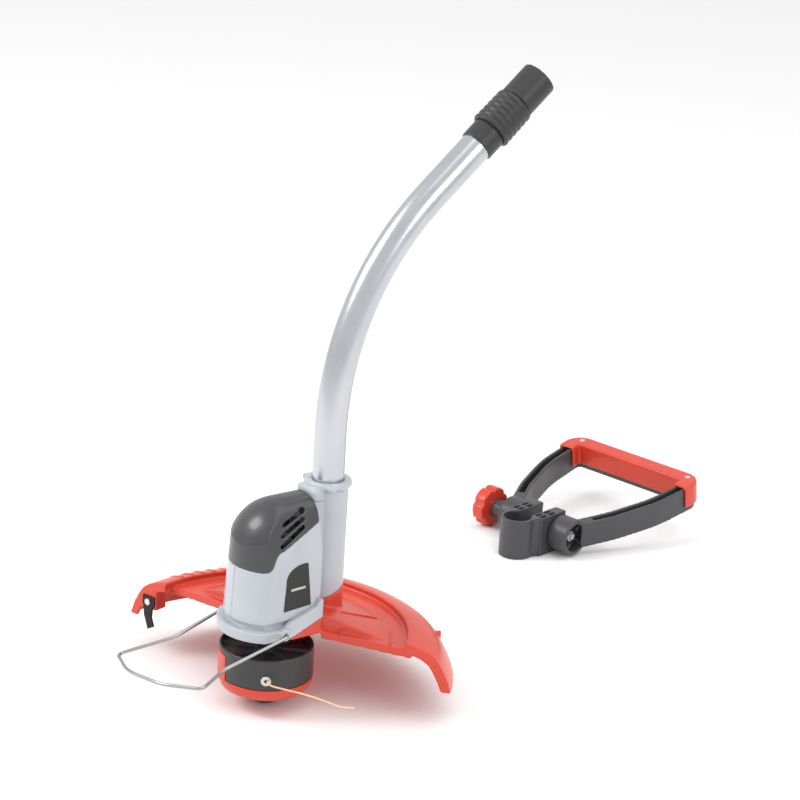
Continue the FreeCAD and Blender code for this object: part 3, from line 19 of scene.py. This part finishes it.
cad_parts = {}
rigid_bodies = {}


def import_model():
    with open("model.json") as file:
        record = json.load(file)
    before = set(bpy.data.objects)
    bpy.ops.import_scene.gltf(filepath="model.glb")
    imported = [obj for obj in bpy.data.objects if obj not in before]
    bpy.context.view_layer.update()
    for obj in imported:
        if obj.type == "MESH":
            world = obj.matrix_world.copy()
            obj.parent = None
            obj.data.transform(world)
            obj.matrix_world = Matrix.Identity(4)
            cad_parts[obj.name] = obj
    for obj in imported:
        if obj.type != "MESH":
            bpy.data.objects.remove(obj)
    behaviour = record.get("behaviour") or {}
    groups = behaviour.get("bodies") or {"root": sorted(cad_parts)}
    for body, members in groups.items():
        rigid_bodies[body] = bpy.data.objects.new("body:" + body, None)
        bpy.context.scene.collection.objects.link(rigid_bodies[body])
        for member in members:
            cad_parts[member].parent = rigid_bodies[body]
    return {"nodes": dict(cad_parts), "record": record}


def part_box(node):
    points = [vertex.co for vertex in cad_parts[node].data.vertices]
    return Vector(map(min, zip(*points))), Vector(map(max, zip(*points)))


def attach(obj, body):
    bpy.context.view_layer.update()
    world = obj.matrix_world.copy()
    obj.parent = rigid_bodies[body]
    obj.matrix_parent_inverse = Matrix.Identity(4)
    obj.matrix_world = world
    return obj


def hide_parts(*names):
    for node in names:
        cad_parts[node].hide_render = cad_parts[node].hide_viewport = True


LOG = logging.getLogger("string_trimmer")

# Surface finish, with lengths in metres.
COAT_ROUGHNESS = 0.08
SCATTER_DEPTH = 0.004
COLOUR_PATCH = 0.03
ROUGHNESS_PATCH = 0.006
NOISE_DETAIL = 3.0
TONE_BAND = (0.35, 0.65)
LEAST_ROUGHNESS = 0.02
GRAIN_STRENGTH = 0.6

# Edges: points closer than this are one, how strongly each pass eases a corner, and the most of
# a bar's thinner side that its bevel may take.
MERGE_DISTANCE = 1e-6
EASE_STRENGTH = 0.5
BEVEL_SHARE = 0.4


class Slot(Enum):
    """Material slot names passed to seat along with new pieces."""

    HOUSING = "housing_shell"
    COVER = "cover_dark"
    BADGE = "badge"
    RED = "red_plastic"
    DARK = "dark_plastic"
    FRAME = "frame_plastic"
    LINE = "nylon_line"


@dataclass(frozen=True)
class Finish:
    """One surface finish, as a procedural material.

    Attributes:
        name: plain name of the finish.
        colour: linear base colour.
        roughness: mean roughness.
        metallic: 1 for bare metal.
        grain_size: size of the surface grain, in metres.
        grain_depth: height of the grain, in metres.
        colour_drift: share by which the colour wanders over a piece.
        roughness_drift: how far the roughness wanders either way.
        coat: weight of a clear gloss layer.
        glow: weight of light scattered under the surface.
        see_through: weight of light passing through.
    """

    name: str
    colour: tuple[float, float, float]
    roughness: float
    metallic: float = 0.0
    grain_size: float = 0.0008
    grain_depth: float = 0.00002
    colour_drift: float = 0.04
    roughness_drift: float = 0.05
    coat: float = 0.0
    glow: float = 0.0
    see_through: float = 0.0

    def material(self) -> bpy.types.Material:
        """Build the finish once and return it.

        Returns:
            The material, made on the first call.
        """
        found = bpy.data.materials.get(self.name)
        if found is not None:
            return found
        made = bpy.data.materials.new(self.name)
        made.use_nodes = True
        tree = made.node_tree
        shader = tree.nodes["Principled BSDF"]
        shader.inputs["Metallic"].default_value = self.metallic
        shader.inputs["Coat Weight"].default_value = self.coat
        shader.inputs["Coat Roughness"].default_value = COAT_ROUGHNESS
        shader.inputs["Subsurface Weight"].default_value = self.glow
        shader.inputs["Subsurface Scale"].default_value = SCATTER_DEPTH
        shader.inputs["Transmission Weight"].default_value = self.see_through
        place = tree.nodes.new("ShaderNodeTexCoord").outputs["Object"]
        self._mix_colour(tree, self._noise(tree, place, COLOUR_PATCH), shader)
        self._map_roughness(tree, self._noise(tree, place, ROUGHNESS_PATCH), shader)
        self._add_grain(tree, self._noise(tree, place, self.grain_size), shader)
        made.diffuse_color = (*self.colour, 1.0)
        return made

    def _noise(self, tree: bpy.types.NodeTree, place: bpy.types.NodeSocket,
               size: float) -> bpy.types.NodeSocket:
        """Add a soft noise pattern of a given feature size.

        Args:
            tree: the material's nodes.
            place: the coordinates to read.
            size: feature size in metres.

        Returns:
            The noise factor socket.
        """
        noise = tree.nodes.new("ShaderNodeTexNoise")
        noise.inputs["Scale"].default_value = 1.0 / size
        noise.inputs["Detail"].default_value = NOISE_DETAIL
        tree.links.new(place, noise.inputs["Vector"])
        return noise.outputs["Fac"]

    def _mix_colour(self, tree: bpy.types.NodeTree, factor: bpy.types.NodeSocket,
                    shader: bpy.types.Node) -> None:
        """Let the base colour wander between a darker and a lighter tone.

        Args:
            tree: the material's nodes.
            factor: noise that chooses the tone.
            shader: the principled shader.
        """
        ramp = tree.nodes.new("ShaderNodeValToRGB")
        low, high = 1.0 - self.colour_drift, 1.0 + self.colour_drift
        dark, light = ramp.color_ramp.elements
        dark.position, light.position = TONE_BAND
        dark.color = (*[part * low for part in self.colour], 1.0)
        light.color = (*[min(part * high, 1.0) for part in self.colour], 1.0)
        tree.links.new(factor, ramp.inputs["Fac"])
        tree.links.new(ramp.outputs["Color"], shader.inputs["Base Color"])

    def _map_roughness(self, tree: bpy.types.NodeTree, factor: bpy.types.NodeSocket,
                       shader: bpy.types.Node) -> None:
        """Let the roughness wander about its mean.

        Args:
            tree: the material's nodes.
            factor: noise that drives it.
            shader: the principled shader.
        """
        span = tree.nodes.new("ShaderNodeMapRange")
        least = max(self.roughness - self.roughness_drift, LEAST_ROUGHNESS)
        span.inputs["To Min"].default_value = least
        span.inputs["To Max"].default_value = min(self.roughness + self.roughness_drift, 1.0)
        tree.links.new(factor, span.inputs["Value"])
        tree.links.new(span.outputs["Result"], shader.inputs["Roughness"])

    def _add_grain(self, tree: bpy.types.NodeTree, factor: bpy.types.NodeSocket,
                   shader: bpy.types.Node) -> None:
        """Add the fine surface grain as a bump.

        Args:
            tree: the material's nodes.
            factor: noise used as height.
            shader: the principled shader.
        """
        bump = tree.nodes.new("ShaderNodeBump")
        bump.inputs["Distance"].default_value = self.grain_depth
        bump.inputs["Strength"].default_value = GRAIN_STRENGTH
        tree.links.new(factor, bump.inputs["Height"])
        tree.links.new(bump.outputs["Normal"], shader.inputs["Normal"])


HOUSING_SHELL = Finish("housing_light_grey", (0.44, 0.46, 0.50), 0.34, grain_depth=0.00001,
                       coat=0.2)
COVER_SHELL = Finish("cover_dark_grey", (0.042, 0.042, 0.045), 0.33, coat=0.15)
BADGE_PLATE = Finish("badge_black", (0.006, 0.007, 0.006), 0.3, grain_depth=0.0)
BADGE_BAR = Finish("badge_pale_bar", (0.45, 0.46, 0.42), 0.4)
RED_MOULDED = Finish("red_moulded", (0.60, 0.042, 0.016), 0.34, glow=0.05, coat=0.12)
DRUM_PLASTIC = Finish("drum_dark_grey", (0.030, 0.029, 0.030), 0.38)
KNOB_PLASTIC = Finish("bump_knob_grey", (0.050, 0.045, 0.045), 0.55, grain_depth=0.00005)
FRAME_PLASTIC = Finish("handle_frame_grey", (0.048, 0.048, 0.052), 0.40, grain_depth=0.00004)
COUPLING_PLASTIC = Finish("coupling_black", (0.022, 0.022, 0.024), 0.42, grain_depth=0.00004)
TUBE_METAL = Finish("satin_aluminium", (0.52, 0.53, 0.56), 0.24, metallic=1.0,
                    grain_size=0.0004)
PLAIN_STEEL = Finish("plain_steel", (0.56, 0.56, 0.58), 0.32, metallic=1.0)
WIRE_STEEL = Finish("bright_wire", (0.36, 0.36, 0.37), 0.30, metallic=1.0)
ZINC_STEEL = Finish("zinc_screw", (0.58, 0.58, 0.56), 0.36, metallic=1.0)
BLACKENED_STEEL = Finish("blackened_blade", (0.018, 0.018, 0.020), 0.38, metallic=0.6)
SHEET_STEEL = Finish("stacked_sheet_steel", (0.20, 0.20, 0.21), 0.5, metallic=0.9)
ENAMELLED_COPPER = Finish("enamelled_copper", (0.42, 0.13, 0.045), 0.35, metallic=0.8)
PRESSED_CARBON = Finish("pressed_carbon", (0.02, 0.02, 0.02), 0.7)
NATURAL_PLASTIC = Finish("natural_plastic", (0.72, 0.70, 0.62), 0.45, glow=0.2)
NYLON_LINE = Finish("nylon_line", (0.90, 0.52, 0.28), 0.32, glow=0.3, see_through=0.25)
CABLE_RUBBER = Finish("cable_rubber", (0.015, 0.015, 0.015), 0.6)
STUDIO_FLOOR = Finish("pale_floor", (0.93, 0.93, 0.93), 0.85, colour_drift=0.0,
                      grain_depth=0.0)


@dataclass
class PackedFrame:
    """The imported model, with the body each node rides on."""

    nodes: dict[str, bpy.types.Object] = field(default_factory=dict)
    body_of: dict[str, str] = field(default_factory=dict)

    @classmethod
    def load(cls) -> PackedFrame:
        """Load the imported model.

        Returns:
            The frame with its nodes and their bodies.
        """
        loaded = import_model()
        groups = loaded["record"]["behaviour"]["bodies"]
        body_of = {node: body for body, members in groups.items() for node in members}
        return cls(nodes=loaded["nodes"], body_of=body_of)

    def dress(self, finish: Finish, *names: str) -> None:
        """Give nodes a finish.

        Args:
            finish: the finish to use.
            names: the nodes that get it.
        """
        for name in names:
            mesh = self.nodes[name].data
            mesh.materials.clear()
            mesh.materials.append(finish.material())


@dataclass
class Sculptor:
    """Makes new pieces and seats them on the frame."""

    frame: PackedFrame

    def seat(self, piece: bpy.types.Object, slot: Slot, finish: Finish, *nodes: str) -> None:
        """Give a piece its finish and let it stand for CAD nodes.

        Args:
            piece: the finished object at the origin.
            slot: the record's material slot; not used.
            finish: the finish it wears.
            nodes: the nodes it replaces; it rides with the first.
        """
        piece.data.materials.append(finish.material())
        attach(piece, self.frame.body_of[nodes[0]])
        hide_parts(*nodes)
        LOG.info("seated %s for %s", piece.name, ", ".join(nodes))

    def softened(self, node: str, voxel: float, passes: int, name: str,
                 keep: float = 1.0) -> bpy.types.Object:
        """Make a copy of a node whose sharp corners are rounded as a mould leaves them.

        Args:
            node: the CAD node to copy.
            voxel: grid size of the new skin, in metres.
            passes: smoothing passes, more for a rounder edge.
            name: name of the new piece.
            keep: share of the faces kept, under 1 on a large piece.

        Returns:
            The new object at the origin, smooth shaded.
        """
        shape = bmesh.new()
        shape.from_mesh(self.frame.nodes[node].data)
        bmesh.ops.remove_doubles(shape, verts=shape.verts, dist=MERGE_DISTANCE)
        mesh = bpy.data.meshes.new(name)
        shape.to_mesh(mesh)
        shape.free()
        piece = bpy.data.objects.new(name, mesh)
        bpy.context.scene.collection.objects.link(piece)
        skin = piece.modifiers.new("skin", "REMESH")
        skin.mode = "VOXEL"
        skin.voxel_size = voxel
        skin.use_smooth_shade = True
        ease = piece.modifiers.new("ease", "SMOOTH")
        ease.factor = EASE_STRENGTH
        ease.iterations = passes
        if keep < 1.0:
            piece.modifiers.new("thin", "DECIMATE").ratio = keep
        return self.frozen(piece)

    def frozen(self, piece: bpy.types.Object) -> bpy.types.Object:
        """Apply every modifier of a piece.

        Args:
            piece: the object to settle.

        Returns:
            The same object with a plain, smooth-shaded mesh.
        """
        bpy.context.view_layer.update()
        graph = bpy.context.evaluated_depsgraph_get()
        settled = bpy.data.meshes.new_from_object(piece.evaluated_get(graph))
        settled.name = piece.name
        piece.modifiers.clear()
        piece.data = settled
        piece.data.materials.clear()
        for face in piece.data.polygons:
            face.use_smooth = True
        return piece


@dataclass
class BarMaker:
    """Makes small bevelled bars and finished meshes, placed in the row frame."""

    bevel: float = 0.0003

    def bar(self, name: str, start: Vector, end: Vector, width: float,
            height: float) -> bpy.types.Object:
        """Make a rounded bar between two points, its height upright.

        Args:
            name: the piece's name.
            start: centre of one end.
            end: centre of the other end.
            width: size across.
            height: upright size.

        Returns:
            The new object at the origin.
        """
        shape = bmesh.new()
        bmesh.ops.create_cube(shape, size=1.0)
        bmesh.ops.scale(shape, vec=((end - start).length, width, height), verts=shape.verts)
        offset = min(self.bevel, BEVEL_SHARE * min(width, height))
        bmesh.ops.bevel(shape, geom=shape.edges[:], offset=offset, segments=2, profile=0.5,
                        affect="EDGES", material=-1)
        along = (end - start).normalized()
        side = Vector((0.0, 0.0, 1.0)).cross(along).normalized()
        turn = Matrix((along, side, along.cross(side))).transposed().to_4x4()
        shape.transform(Matrix.Translation((start + end) / 2) @ turn)
        return self.made(name, shape)

    def made(self, name: str, shape: bmesh.types.BMesh) -> bpy.types.Object:
        """Turn a finished shape into a linked, smooth-shaded object.

        Args:
            name: the piece's name.
            shape: the geometry, freed here.

        Returns:
            The new object at the origin.
        """
        bmesh.ops.recalc_face_normals(shape, faces=shape.faces)
        for face in shape.faces:
            face.smooth = True
        mesh = bpy.data.meshes.new(name)
        shape.to_mesh(mesh)
        shape.free()
        piece = bpy.data.objects.new(name, mesh)
        bpy.context.scene.collection.objects.link(piece)
        return piece


@dataclass
class MotorHead:
    """Light housing, dark top cover, skirt, collar, badges and the motor inside."""

    skin: float = 0.0009
    bar_rise: float = 0.46
    bar_inset: float = 0.0065
    bar_tilt: float = 0.0006
    bar_sink: float = 0.00005
    bar_bevel: float = 0.00005
    bar_size: tuple[float, float] = (0.0004, 0.0022)

    def build(self, maker: Sculptor) -> None:
        """Dress and soften the motor head.

        Args:
            maker: seats the pieces.
        """
        frame = maker.frame
        frame.dress(PLAIN_STEEL, "lower_bearing", "upper_bearing", "motor_shaft", "brush_springs",
                    "drive_pin")
        frame.dress(SHEET_STEEL, "stator_core", "armature_core")
        frame.dress(ENAMELLED_COPPER, "field_coils", "armature_winding", "commutator")
        frame.dress(PRESSED_CARBON, "carbon_brushes")
        frame.dress(FRAME_PLASTIC, "motor_plate", "brush_bridge")
        frame.dress(NATURAL_PLASTIC, "cooling_fan", "terminal_block")
        frame.dress(ZINC_STEEL, "motor_bolts", "housing_screws", "tube_screw")
        frame.dress(BADGE_PLATE, "badge_right", "badge_left")
        shells = {"housing_right": 4, "housing_left": 4, "skirt_ring": 3, "shaft_collar": 3}
        for node, passes in shells.items():
            piece = maker.softened(node, self.skin, passes, f"soft_{node}")
            maker.seat(piece, Slot.HOUSING, HOUSING_SHELL, node)
        cover = maker.softened("top_cover", self.skin, 5, "soft_top_cover")
        maker.seat(cover, Slot.COVER, COVER_SHELL, "top_cover")
        self._badge_bars(maker)

    def _badge_bars(self, maker: Sculptor) -> None:
        """Lay a plain pale bar on each badge.

        Args:
            maker: gives the badges' places.
        """
        low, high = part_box("badge_right")
        middle = low.z + self.bar_rise * (high.z - low.z)
        for side, word in ((1.0, "right"), (-1.0, "left")):
            across = side * (high.x - self.bar_sink)
            start = Vector((across, low.y + self.bar_inset, middle))
            end = Vector((across, high.y - self.bar_inset, middle + self.bar_tilt))
            bar = BarMaker(self.bar_bevel).bar(f"badge_bar_{word}", start, end, *self.bar_size)
            bar.data.materials.append(BADGE_BAR.material())
            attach(bar, maker.frame.body_of["badge_right"])


@dataclass
class LineHead:
    """Drum, cover, bump knob, spool and the cutting line."""

    line_radius: float = 0.00075
    line_length: float = 0.0969
    skin: float = 0.0008

    def build(self, maker: Sculptor) -> None:
        """Dress the line head and lay its line.

        Args:
            maker: seats the pieces.
        """
        frame = maker.frame
        frame.dress(PLAIN_STEEL, "spool_spring", "line_eyelet")
        frame.dress(NATURAL_PLASTIC, "line_spool")
        frame.dress(NYLON_LINE, "line_winding")
        drum = maker.softened("head_drum", self.skin, 2, "soft_drum")
        maker.seat(drum, Slot.DARK, DRUM_PLASTIC, "head_drum")
        cover = maker.softened("head_cover", self.skin, 2, "soft_head_cover")
        maker.seat(cover, Slot.RED, RED_MOULDED, "head_cover")
        knob = maker.softened("bump_knob", self.skin, 3, "soft_bump_knob")
        maker.seat(knob, Slot.DARK, KNOB_PLASTIC, "bump_knob")
        self._lay_line(maker)

    def _lay_line(self, maker: Sculptor) -> None:
        """Lay the cutting line as one smooth curve out of the eyelet.

        Args:
            maker: seats the line.
        """
        route = [(0.0274, -0.0185, 0.038), (0.0406, -0.0274, 0.038), (0.055, -0.0175, 0.0372),
                 (0.072, -0.007, 0.0369), (0.0885, 0.003, 0.0348), (0.1015, 0.0098, 0.0326),
                 (0.111, 0.0146, 0.036)]
        curve = bpy.data.curves.new("nylon_cutting_line", "CURVE")
        curve.dimensions = "3D"
        spline = curve.splines.new("NURBS")
        spline.points.add(len(route) - 1)
        for point, place in zip(spline.points, route):
            point.co = (*place, 1.0)
        spline.order_u = 3
        spline.use_endpoint_u = True
        spline.resolution_u = 16
        curve.bevel_depth = self.line_radius
        curve.bevel_resolution = 4
        curve.use_fill_caps = True
        line = bpy.data.objects.new("nylon_cutting_line", curve)
        bpy.context.scene.collection.objects.link(line)
        maker.seat(line, Slot.LINE, NYLON_LINE, "cutting_line")


@dataclass
class GuardGroup:
    """Red debris guard, its cutter blade and the wire plant guard."""

    skin: float = 0.0011
    thin_share: float = 0.45
    rib_bevel: float = 0.0004
    rib_size: tuple[float, float] = (0.0013, 0.0022)
    above_deck: float = 0.1

    def build(self, maker: Sculptor) -> None:
        """Dress and soften the guards.

        Args:
            maker: seats the pieces.
        """
        frame = maker.frame
        frame.dress(BLACKENED_STEEL, "line_cutter_blade")
        frame.dress(ZINC_STEEL, "blade_screw", "guard_screws")
        frame.dress(WIRE_STEEL, "plant_guard_wire")
        guard = maker.softened("guard", self.skin, 3, "soft_guard", self.thin_share)
        maker.seat(guard, Slot.RED, RED_MOULDED, "guard")
        self._deck_ribs(maker, guard)

    def _deck_ribs(self, maker: Sculptor, guard: bpy.types.Object) -> None:
        """Raise the small stiffening ribs that stand on the guard's deck.

        Args:
            maker: gives the guard's body.
            guard: the piece whose deck carries the ribs.
        """
        mesh = guard.data
        deck = BVHTree.FromPolygons([vert.co for vert in mesh.vertices],
                                    [face.vertices for face in mesh.polygons])
        down = Vector((0.0, 0.0, -1.0))
        runs = (("long", (0.0240, 0.0600), (0.0300, 0.0960)),
                ("short", (0.0400, 0.0520), (0.0490, 0.0430)),
                ("outer", (0.0570, 0.0915), (0.0800, 0.0740)))
        for name, *ends in runs:
            start, end = (deck.ray_cast(Vector((*spot, self.above_deck)), down)[0] for spot in ends)
            rib = BarMaker(self.rib_bevel).bar(f"deck_rib_{name}", start, end, *self.rib_size)
            rib.data.materials.append(RED_MOULDED.material())
            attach(rib, maker.frame.body_of["guard"])


@dataclass
class ShaftGroup:
    """Aluminium tube, its coupling and the supply cable."""

    skin: float = 0.0008

    def build(self, maker: Sculptor) -> None:
        """Dress the shaft and its coupling.

        Args:
            maker: seats the pieces.
        """
        frame = maker.frame
        frame.dress(TUBE_METAL, "shaft_tube")
        frame.dress(CABLE_RUBBER, "supply_cable")
        frame.dress(COUPLING_PLASTIC, "coupling_body", "cable_plug")
        for node, passes in (("end_sleeve", 3), ("lock_ring", 2)):
            piece = maker.softened(node, self.skin, passes, f"soft_{node}")
            maker.seat(piece, Slot.DARK, COUPLING_PLASTIC, node)


@dataclass
class SideHandle:
    """Detached D-handle: clamp, loop, red grip cover and knob."""

    skin: float = 0.0010
    clamp_skin: float = 0.0007
    bolt_centre: Vector = field(default_factory=lambda: Vector((-0.1615, 0.4515, 0.021)))
    turn_deg: float = 10.0
    rise_deg: float = 9.0
    knob_radius: float = 0.0209
    knob_depth: float = 0.014
    knob_centre_x: float = -0.0713
    knob_lobes: int = 6
    rim_wall: float = 0.0030
    dish_slope: float = 0.0012
    dish_depth: float = 0.0055
    rim_round: float = 0.0022
    lobe_band: float = 0.0062
    lobe_dip: float = 0.11
    hub_sink: float = 0.0015
    hub_radii: tuple[float, float] = (0.0064, 0.0052)
    hub_height: float = 0.006
    rib_size: tuple[float, float, float] = (0.0105, 0.0016, 0.0045)
    rib_sink: float = 0.0030
    sharp_deg: float = 40.0

    def build(self, maker: Sculptor) -> None:
        """Dress and soften the handle.

        Args:
            maker: seats the pieces.
        """
        frame = maker.frame
        frame.dress(ZINC_STEEL, "grip_screws", "clamp_bolt", "clamp_nut", "clamp_washer")
        loop = maker.softened("handle_frame", self.skin, 3, "soft_handle_frame")
        maker.seat(loop, Slot.FRAME, FRAME_PLASTIC, "handle_frame")
        clamp = maker.softened("handle_clamp", self.clamp_skin, 3, "soft_handle_clamp")
        maker.seat(clamp, Slot.FRAME, FRAME_PLASTIC, "handle_clamp")
        grip = maker.softened("grip_cover", self.skin, 4, "soft_grip_cover")
        maker.seat(grip, Slot.RED, RED_MOULDED, "grip_cover")
        self._hand_knob(maker)

    def _hand_knob(self, maker: Sculptor) -> None:
        """Model the lobed hand knob with its dished face, ribs and hub.

        Args:
            maker: seats the knob.
        """
        shape = bmesh.new()
        bmesh.ops.create_cone(shape, cap_ends=True, segments=144, radius1=self.knob_radius,
                              radius2=self.knob_radius, depth=self.knob_depth)
        face = max(shape.faces, key=lambda each: each.calc_center_median().z)
        bmesh.ops.inset_region(shape, faces=[face], thickness=self.rim_wall)
        bmesh.ops.inset_region(shape, faces=[face], thickness=self.dish_slope,
                               depth=-self.dish_depth)
        rim = [edge for edge in shape.edges if edge.is_manifold and edge.calc_face_angle(0.0) > 1.0
               and edge.verts[0].co.xy.length > self.knob_radius - 0.0001]
        bmesh.ops.bevel(shape, geom=rim, offset=self.rim_round, segments=5, profile=0.5,
                        affect="EDGES", material=-1)
        for vert in shape.verts:
            reach = vert.co.xy.length
            if reach > self.knob_radius - self.lobe_band:
                angle = math.atan2(vert.co.y, vert.co.x)
                dip = max(0.0, math.cos(self.knob_lobes * angle)) ** 3
                vert.co.xy *= 1.0 - self.lobe_dip * dip
        hub_top = self.knob_depth / 2 - self.hub_sink
        hub = bmesh.ops.create_cone(shape, cap_ends=True, segments=48, radius1=self.hub_radii[0],
                                    radius2=self.hub_radii[1], depth=self.hub_height)
        bmesh.ops.translate(shape, vec=(0.0, 0.0, hub_top - self.hub_height / 2),
                            verts=hub["verts"])
        for index in range(self.knob_lobes):
            angle = (index + 0.5) * 2 * math.pi / self.knob_lobes
            rib = bmesh.ops.create_cube(shape, size=1.0)
            bmesh.ops.scale(shape, vec=self.rib_size, verts=rib["verts"])
            bmesh.ops.translate(shape, vec=(self.rib_size[0], 0.0, hub_top - self.rib_sink),
                                verts=rib["verts"])
            bmesh.ops.rotate(shape, cent=(0.0, 0.0, 0.0), matrix=Matrix.Rotation(angle, 3, "Z"),
                             verts=rib["verts"])
        aim = Matrix.Rotation(math.radians(-90.0), 4, "Y")
        slide = Matrix.Translation((self.knob_centre_x, 0.0, 0.0))
        shape.transform(self._place() @ slide @ aim)
        knob = BarMaker().made("lobed_hand_knob", shape)
        edges = knob.modifiers.new("sharp_turns", "EDGE_SPLIT")
        edges.split_angle = math.radians(self.sharp_deg)
        maker.seat(knob, Slot.RED, RED_MOULDED, "clamp_knob")

    def _place(self) -> Matrix:
        """Place the handle by its bolt's centre, its turn on the ground and its grip's rise.

        Returns:
            The placement in the row frame.
        """
        turn = Matrix.Rotation(math.radians(self.turn_deg), 4, "Z")
        rise = Matrix.Rotation(math.radians(self.rise_deg), 4, "X")
        return Matrix.Translation(self.bolt_centre) @ turn @ rise


@dataclass
class Studio:
    """Floor, lights and camera."""

    place: Vector = field(default_factory=lambda: Vector((1.6359, -1.1476, 0.9645)))
    azimuth: float = 52.0
    elevation: float = 18.8
    roll: float = 3.5
    lens: float = 112.9
    sensor: float = 36.0
    air: float = 0.92
    floor_reach: float = 12.0
    aim: Vector = field(default_factory=lambda: Vector((0.0, 0.2, 0.2)))

    def build(self) -> None:
        """Set up the whole studio."""
        self._camera()
        self._floor()
        self._world()
        self._light("key", Vector((-1.0, -1.4, 1.7)), 0.9, 26.0)
        self._light("fill", Vector((1.9, 0.5, 1.3)), 0.9, 8.0)
        self._light("top", Vector((0.3, 0.6, 2.4)), 2.0, 16.0)
        bpy.context.scene.view_settings.view_transform = "Standard"

    def _camera(self) -> None:
        """Create the camera and make it the scene's own."""
        turn, tilt = math.radians(self.azimuth), math.radians(self.elevation)
        roll = math.radians(self.roll)
        back = Vector((math.sin(turn) * math.cos(tilt), -math.cos(turn) * math.cos(tilt),
                       math.sin(tilt)))
        level = Vector((math.cos(turn), math.sin(turn), 0.0))
        upright = back.cross(level)
        right = level * math.cos(roll) + upright * math.sin(roll)
        up = upright * math.cos(roll) - level * math.sin(roll)
        data = bpy.data.cameras.new("studio_camera")
        data.lens = self.lens
        data.sensor_width = self.sensor
        camera = bpy.data.objects.new("studio_camera", data)
        facing = Matrix((right, up, back)).transposed().to_4x4()
        camera.matrix_world = Matrix.Translation(self.place) @ facing
        bpy.context.scene.collection.objects.link(camera)
        bpy.context.scene.camera = camera

    def _floor(self) -> None:
        """Lay a wide pale floor."""
        shape = bmesh.new()
        bmesh.ops.create_grid(shape, x_segments=1, y_segments=1, size=self.floor_reach)
        mesh = bpy.data.meshes.new("studio_floor")
        shape.to_mesh(mesh)
        shape.free()
        floor = bpy.data.objects.new("studio_floor", mesh)
        mesh.materials.append(STUDIO_FLOOR.material())
        bpy.context.scene.collection.objects.link(floor)

    def _world(self) -> None:
        """Fill the room with soft white light."""
        world = bpy.data.worlds.new("studio_air")
        world.use_nodes = True
        sky = world.node_tree.nodes["Background"]
        sky.inputs["Color"].default_value = (1.0, 1.0, 1.0, 1.0)
        sky.inputs["Strength"].default_value = self.air
        bpy.context.scene.world = world

    def _light(self, name: str, place: Vector, size: float, power: float) -> None:
        """Hang one soft square light that faces the object.

        Args:
            name: the light's name.
            place: where it hangs.
            size: its side, in metres.
            power: its power, in watts.
        """
        data = bpy.data.lights.new(name, "AREA")
        data.size = size
        data.energy = power
        light = bpy.data.objects.new(name, data)
        light.location = place
        light.rotation_euler = (self.aim - place).to_track_quat("-Z", "Y").to_euler()
        bpy.context.scene.collection.objects.link(light)


def main() -> None:
    """Build the whole scene in order."""
    logging.basicConfig(level=logging.INFO)
    for leftover in list(bpy.data.objects):
        bpy.data.objects.remove(leftover)
    maker = Sculptor(PackedFrame.load())
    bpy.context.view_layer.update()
    for group in (MotorHead(), LineHead(), GuardGroup(), ShaftGroup(), SideHandle()):
        group.build(maker)
        LOG.info("built %s", type(group).__name__)
    Studio().build()
    bpy.context.view_layer.update()


if __name__ == "__main__":
    main()
